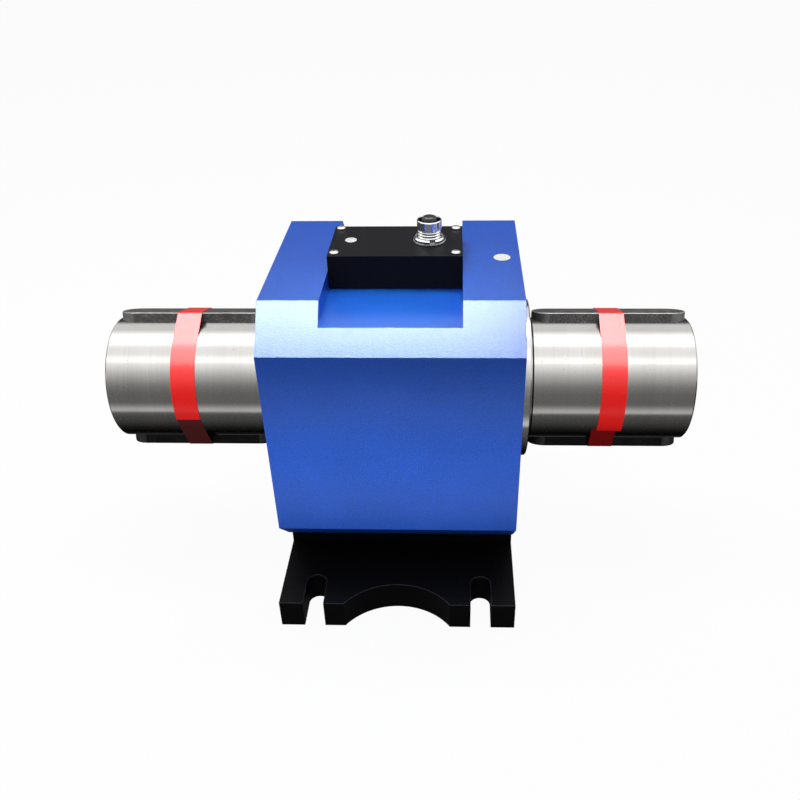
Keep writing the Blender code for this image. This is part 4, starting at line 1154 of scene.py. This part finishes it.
def card(name, size_x, size_y, matrix, axis, stops, reach, start=0.0):
    """A glowing card. Its brightness goes through the stops along one axis, by distance from the start."""
    sheet = flat_sheet(name, size_x, size_y, matrix)
    material = bpy.data.materials.new(name)
    material.use_nodes = True
    material.cycles.emission_sampling = "NONE"
    parts = add_node(material, "ShaderNodeSeparateXYZ")
    wire(material, place_of(material), parts.inputs["Vector"])
    distance = computed(material, "ABSOLUTE", computed(material, "SUBTRACT", parts.outputs[axis], start))
    ramp = add_node(material, "ShaderNodeValToRGB")
    while len(ramp.color_ramp.elements) < len(stops):
        ramp.color_ramp.elements.new(0.5)
    for element, (place, level) in zip(ramp.color_ramp.elements, stops):
        element.position = place / reach
        element.color = (level, level, level, 1.0)
    wire(material, between(material, distance, 0.0, 1.0, 0.0, reach), ramp.inputs["Fac"])
    shine = add_node(material, "ShaderNodeEmission", Strength=card_strength)
    wire(material, ramp.outputs["Color"], shine.inputs["Color"])
    wire(material, shine.outputs["Emission"], material.node_tree.nodes["Material Output"].inputs["Surface"])
    sheet.data.materials.append(material)
    for rays in ("camera", "diffuse", "transmission", "volume_scatter", "shadow"):
        setattr(sheet, f"visible_{rays}", False)


card("floor_cloth", floor_size, floor_size, Matrix.Translation((0, 0, -floor_drop / 2)), "Y", cloth_stops,
     floor_size / 2)
for side_name, (side, stops) in screens.items():
    foot_to_middle = Matrix.Translation((0, side * side_distance, side_height / 2))
    card(f"{side_name}_screen", side_width, side_height, foot_to_middle @ Matrix.Rotation(pi / 2, 4, "X"), "Z",
         stops, side_height)
card("hanging_sheet", side_width, 2 * sheet_edge, Matrix.Translation((0, 0, sheet_height)), "Y", sheet_stops,
     2 * sheet_edge, -sheet_edge)


# Lamps: one long soft box overhead and a broad weak fill from the camera's side.
# The soft box doesn't light the shaft and the fill doesn't light the housing, since the photograph shows neither.
soft_box_x, soft_box_y = -0.12, 0.30
fill_size = (2.4, 1.4)
fill_place = (-0.3, -2.2, 1.3)
shaft_middle = (0, 0, axis_height)


def area_lamp(name, size, place, target, watts, pieces, state="INCLUDE"):
    """A lamp that points at its target. It lights only these pieces, or all but these."""
    data = bpy.data.lights.new(name, "AREA")
    data.shape = "RECTANGLE"
    data.size, data.size_y = size
    data.energy = watts
    lamp = bpy.data.objects.new(name, data)
    lamp.location = place
    lamp.rotation_euler = (Vector(target) - Vector(place)).to_track_quat("-Z", "Y").to_euler()
    lamp.visible_camera = False
    bpy.context.scene.collection.objects.link(lamp)
    linked = bpy.data.collections.new(f"{name}_pieces")
    lamp.light_linking.receiver_collection = linked
    for piece in pieces:
        linked.objects.link(piece)
    for item in linked.collection_objects:
        item.light_linking.link_state = state
    return lamp


area_lamp("soft_box", size=(1.5, 0.54), place=(soft_box_x, soft_box_y, 1.60),
          target=(soft_box_x, soft_box_y, 0.0), watts=18.0, pieces=[bare_shaft], state="EXCLUDE")
fill = area_lamp("front_fill", fill_size, fill_place, shaft_middle, watts=24.0, pieces=[housing_block],
                 state="EXCLUDE")
fill.visible_glossy = False


# Small lamps for single pieces, where the photograph is brighter than the two large lamps make it. The housing's
# upper bevel mirrors a bluish one, a low strip lights its front near the lower edge, and a narrow beam lights
# the front of its channel's floor. The tapes mirror a lamp above them and have a fill of their own.
glint = area_lamp("bevel_glint", size=(1.7, 0.42), place=(-0.55, -0.74, 1.86),
                  target=(-0.55, housing_low.y, housing_high.z), watts=64.0, pieces=[housing_block])
glint.data.color = (0.86, 0.96, 1.0)
glint.visible_diffuse = False
tape_glint = area_lamp("tape_glint", size=(1.6, 1.3), place=(0, -0.25, 1.40), target=shaft_middle, watts=41.0,
                       pieces=taped_pieces)
tape_glint.visible_diffuse = False
tape_fill = area_lamp("tape_fill", fill_size, fill_place, shaft_middle, watts=26.0, pieces=taped_pieces)
tape_fill.visible_glossy = False
low_strip = area_lamp("low_strip", size=(0.5, 0.04), place=(-0.09, -0.20, 0.130),
                      target=(-0.09, housing_low.y, 0.130), watts=0.22, pieces=[housing_block])
low_strip.visible_glossy = False
channel_lamp = area_lamp("channel_lamp", size=(0.10, 0.08), place=(0.0, -0.03, 0.95),
                         target=(0.0, -0.088, channel_floor), watts=0.05, pieces=[housing_block])
channel_lamp.data.spread = radians(16)
channel_lamp.data.color = (1.0, 1.0, 0.65)


# Camera: where the photograph was taken from, above the front and a little to the right.
# Its place, its turns and its lens were fitted to the edges in the photograph.
camera_place = (0.04581, -0.62679, 0.51908)
camera_pitch = radians(35.5865)
camera_yaw = radians(-2.6124)
camera_roll = radians(-1.1277)
film_width = 36.0
focal_length = 38.412
lens_shift = (-0.0290, 0.0693)
nearest_seen = 0.01
lens = bpy.data.cameras.new("camera")
lens.sensor_width = film_width
lens.lens = focal_length
lens.shift_x, lens.shift_y = lens_shift
lens.clip_start = nearest_seen
aim = Vector((sin(camera_yaw) * cos(camera_pitch), cos(camera_yaw) * cos(camera_pitch), -sin(camera_pitch)))
level = Vector((cos(camera_yaw), -sin(camera_yaw), 0.0))
rise = level.cross(aim)
right = level * cos(camera_roll) + rise * sin(camera_roll)
up = rise * cos(camera_roll) - level * sin(camera_roll)
camera = bpy.data.objects.new("camera", lens)
camera.matrix_world = Matrix.Translation(camera_place) @ Matrix((right, up, -aim)).transposed().to_4x4()
bpy.context.scene.collection.objects.link(camera)
bpy.context.scene.camera = camera
bpy.context.scene.view_settings.view_transform = "Standard"
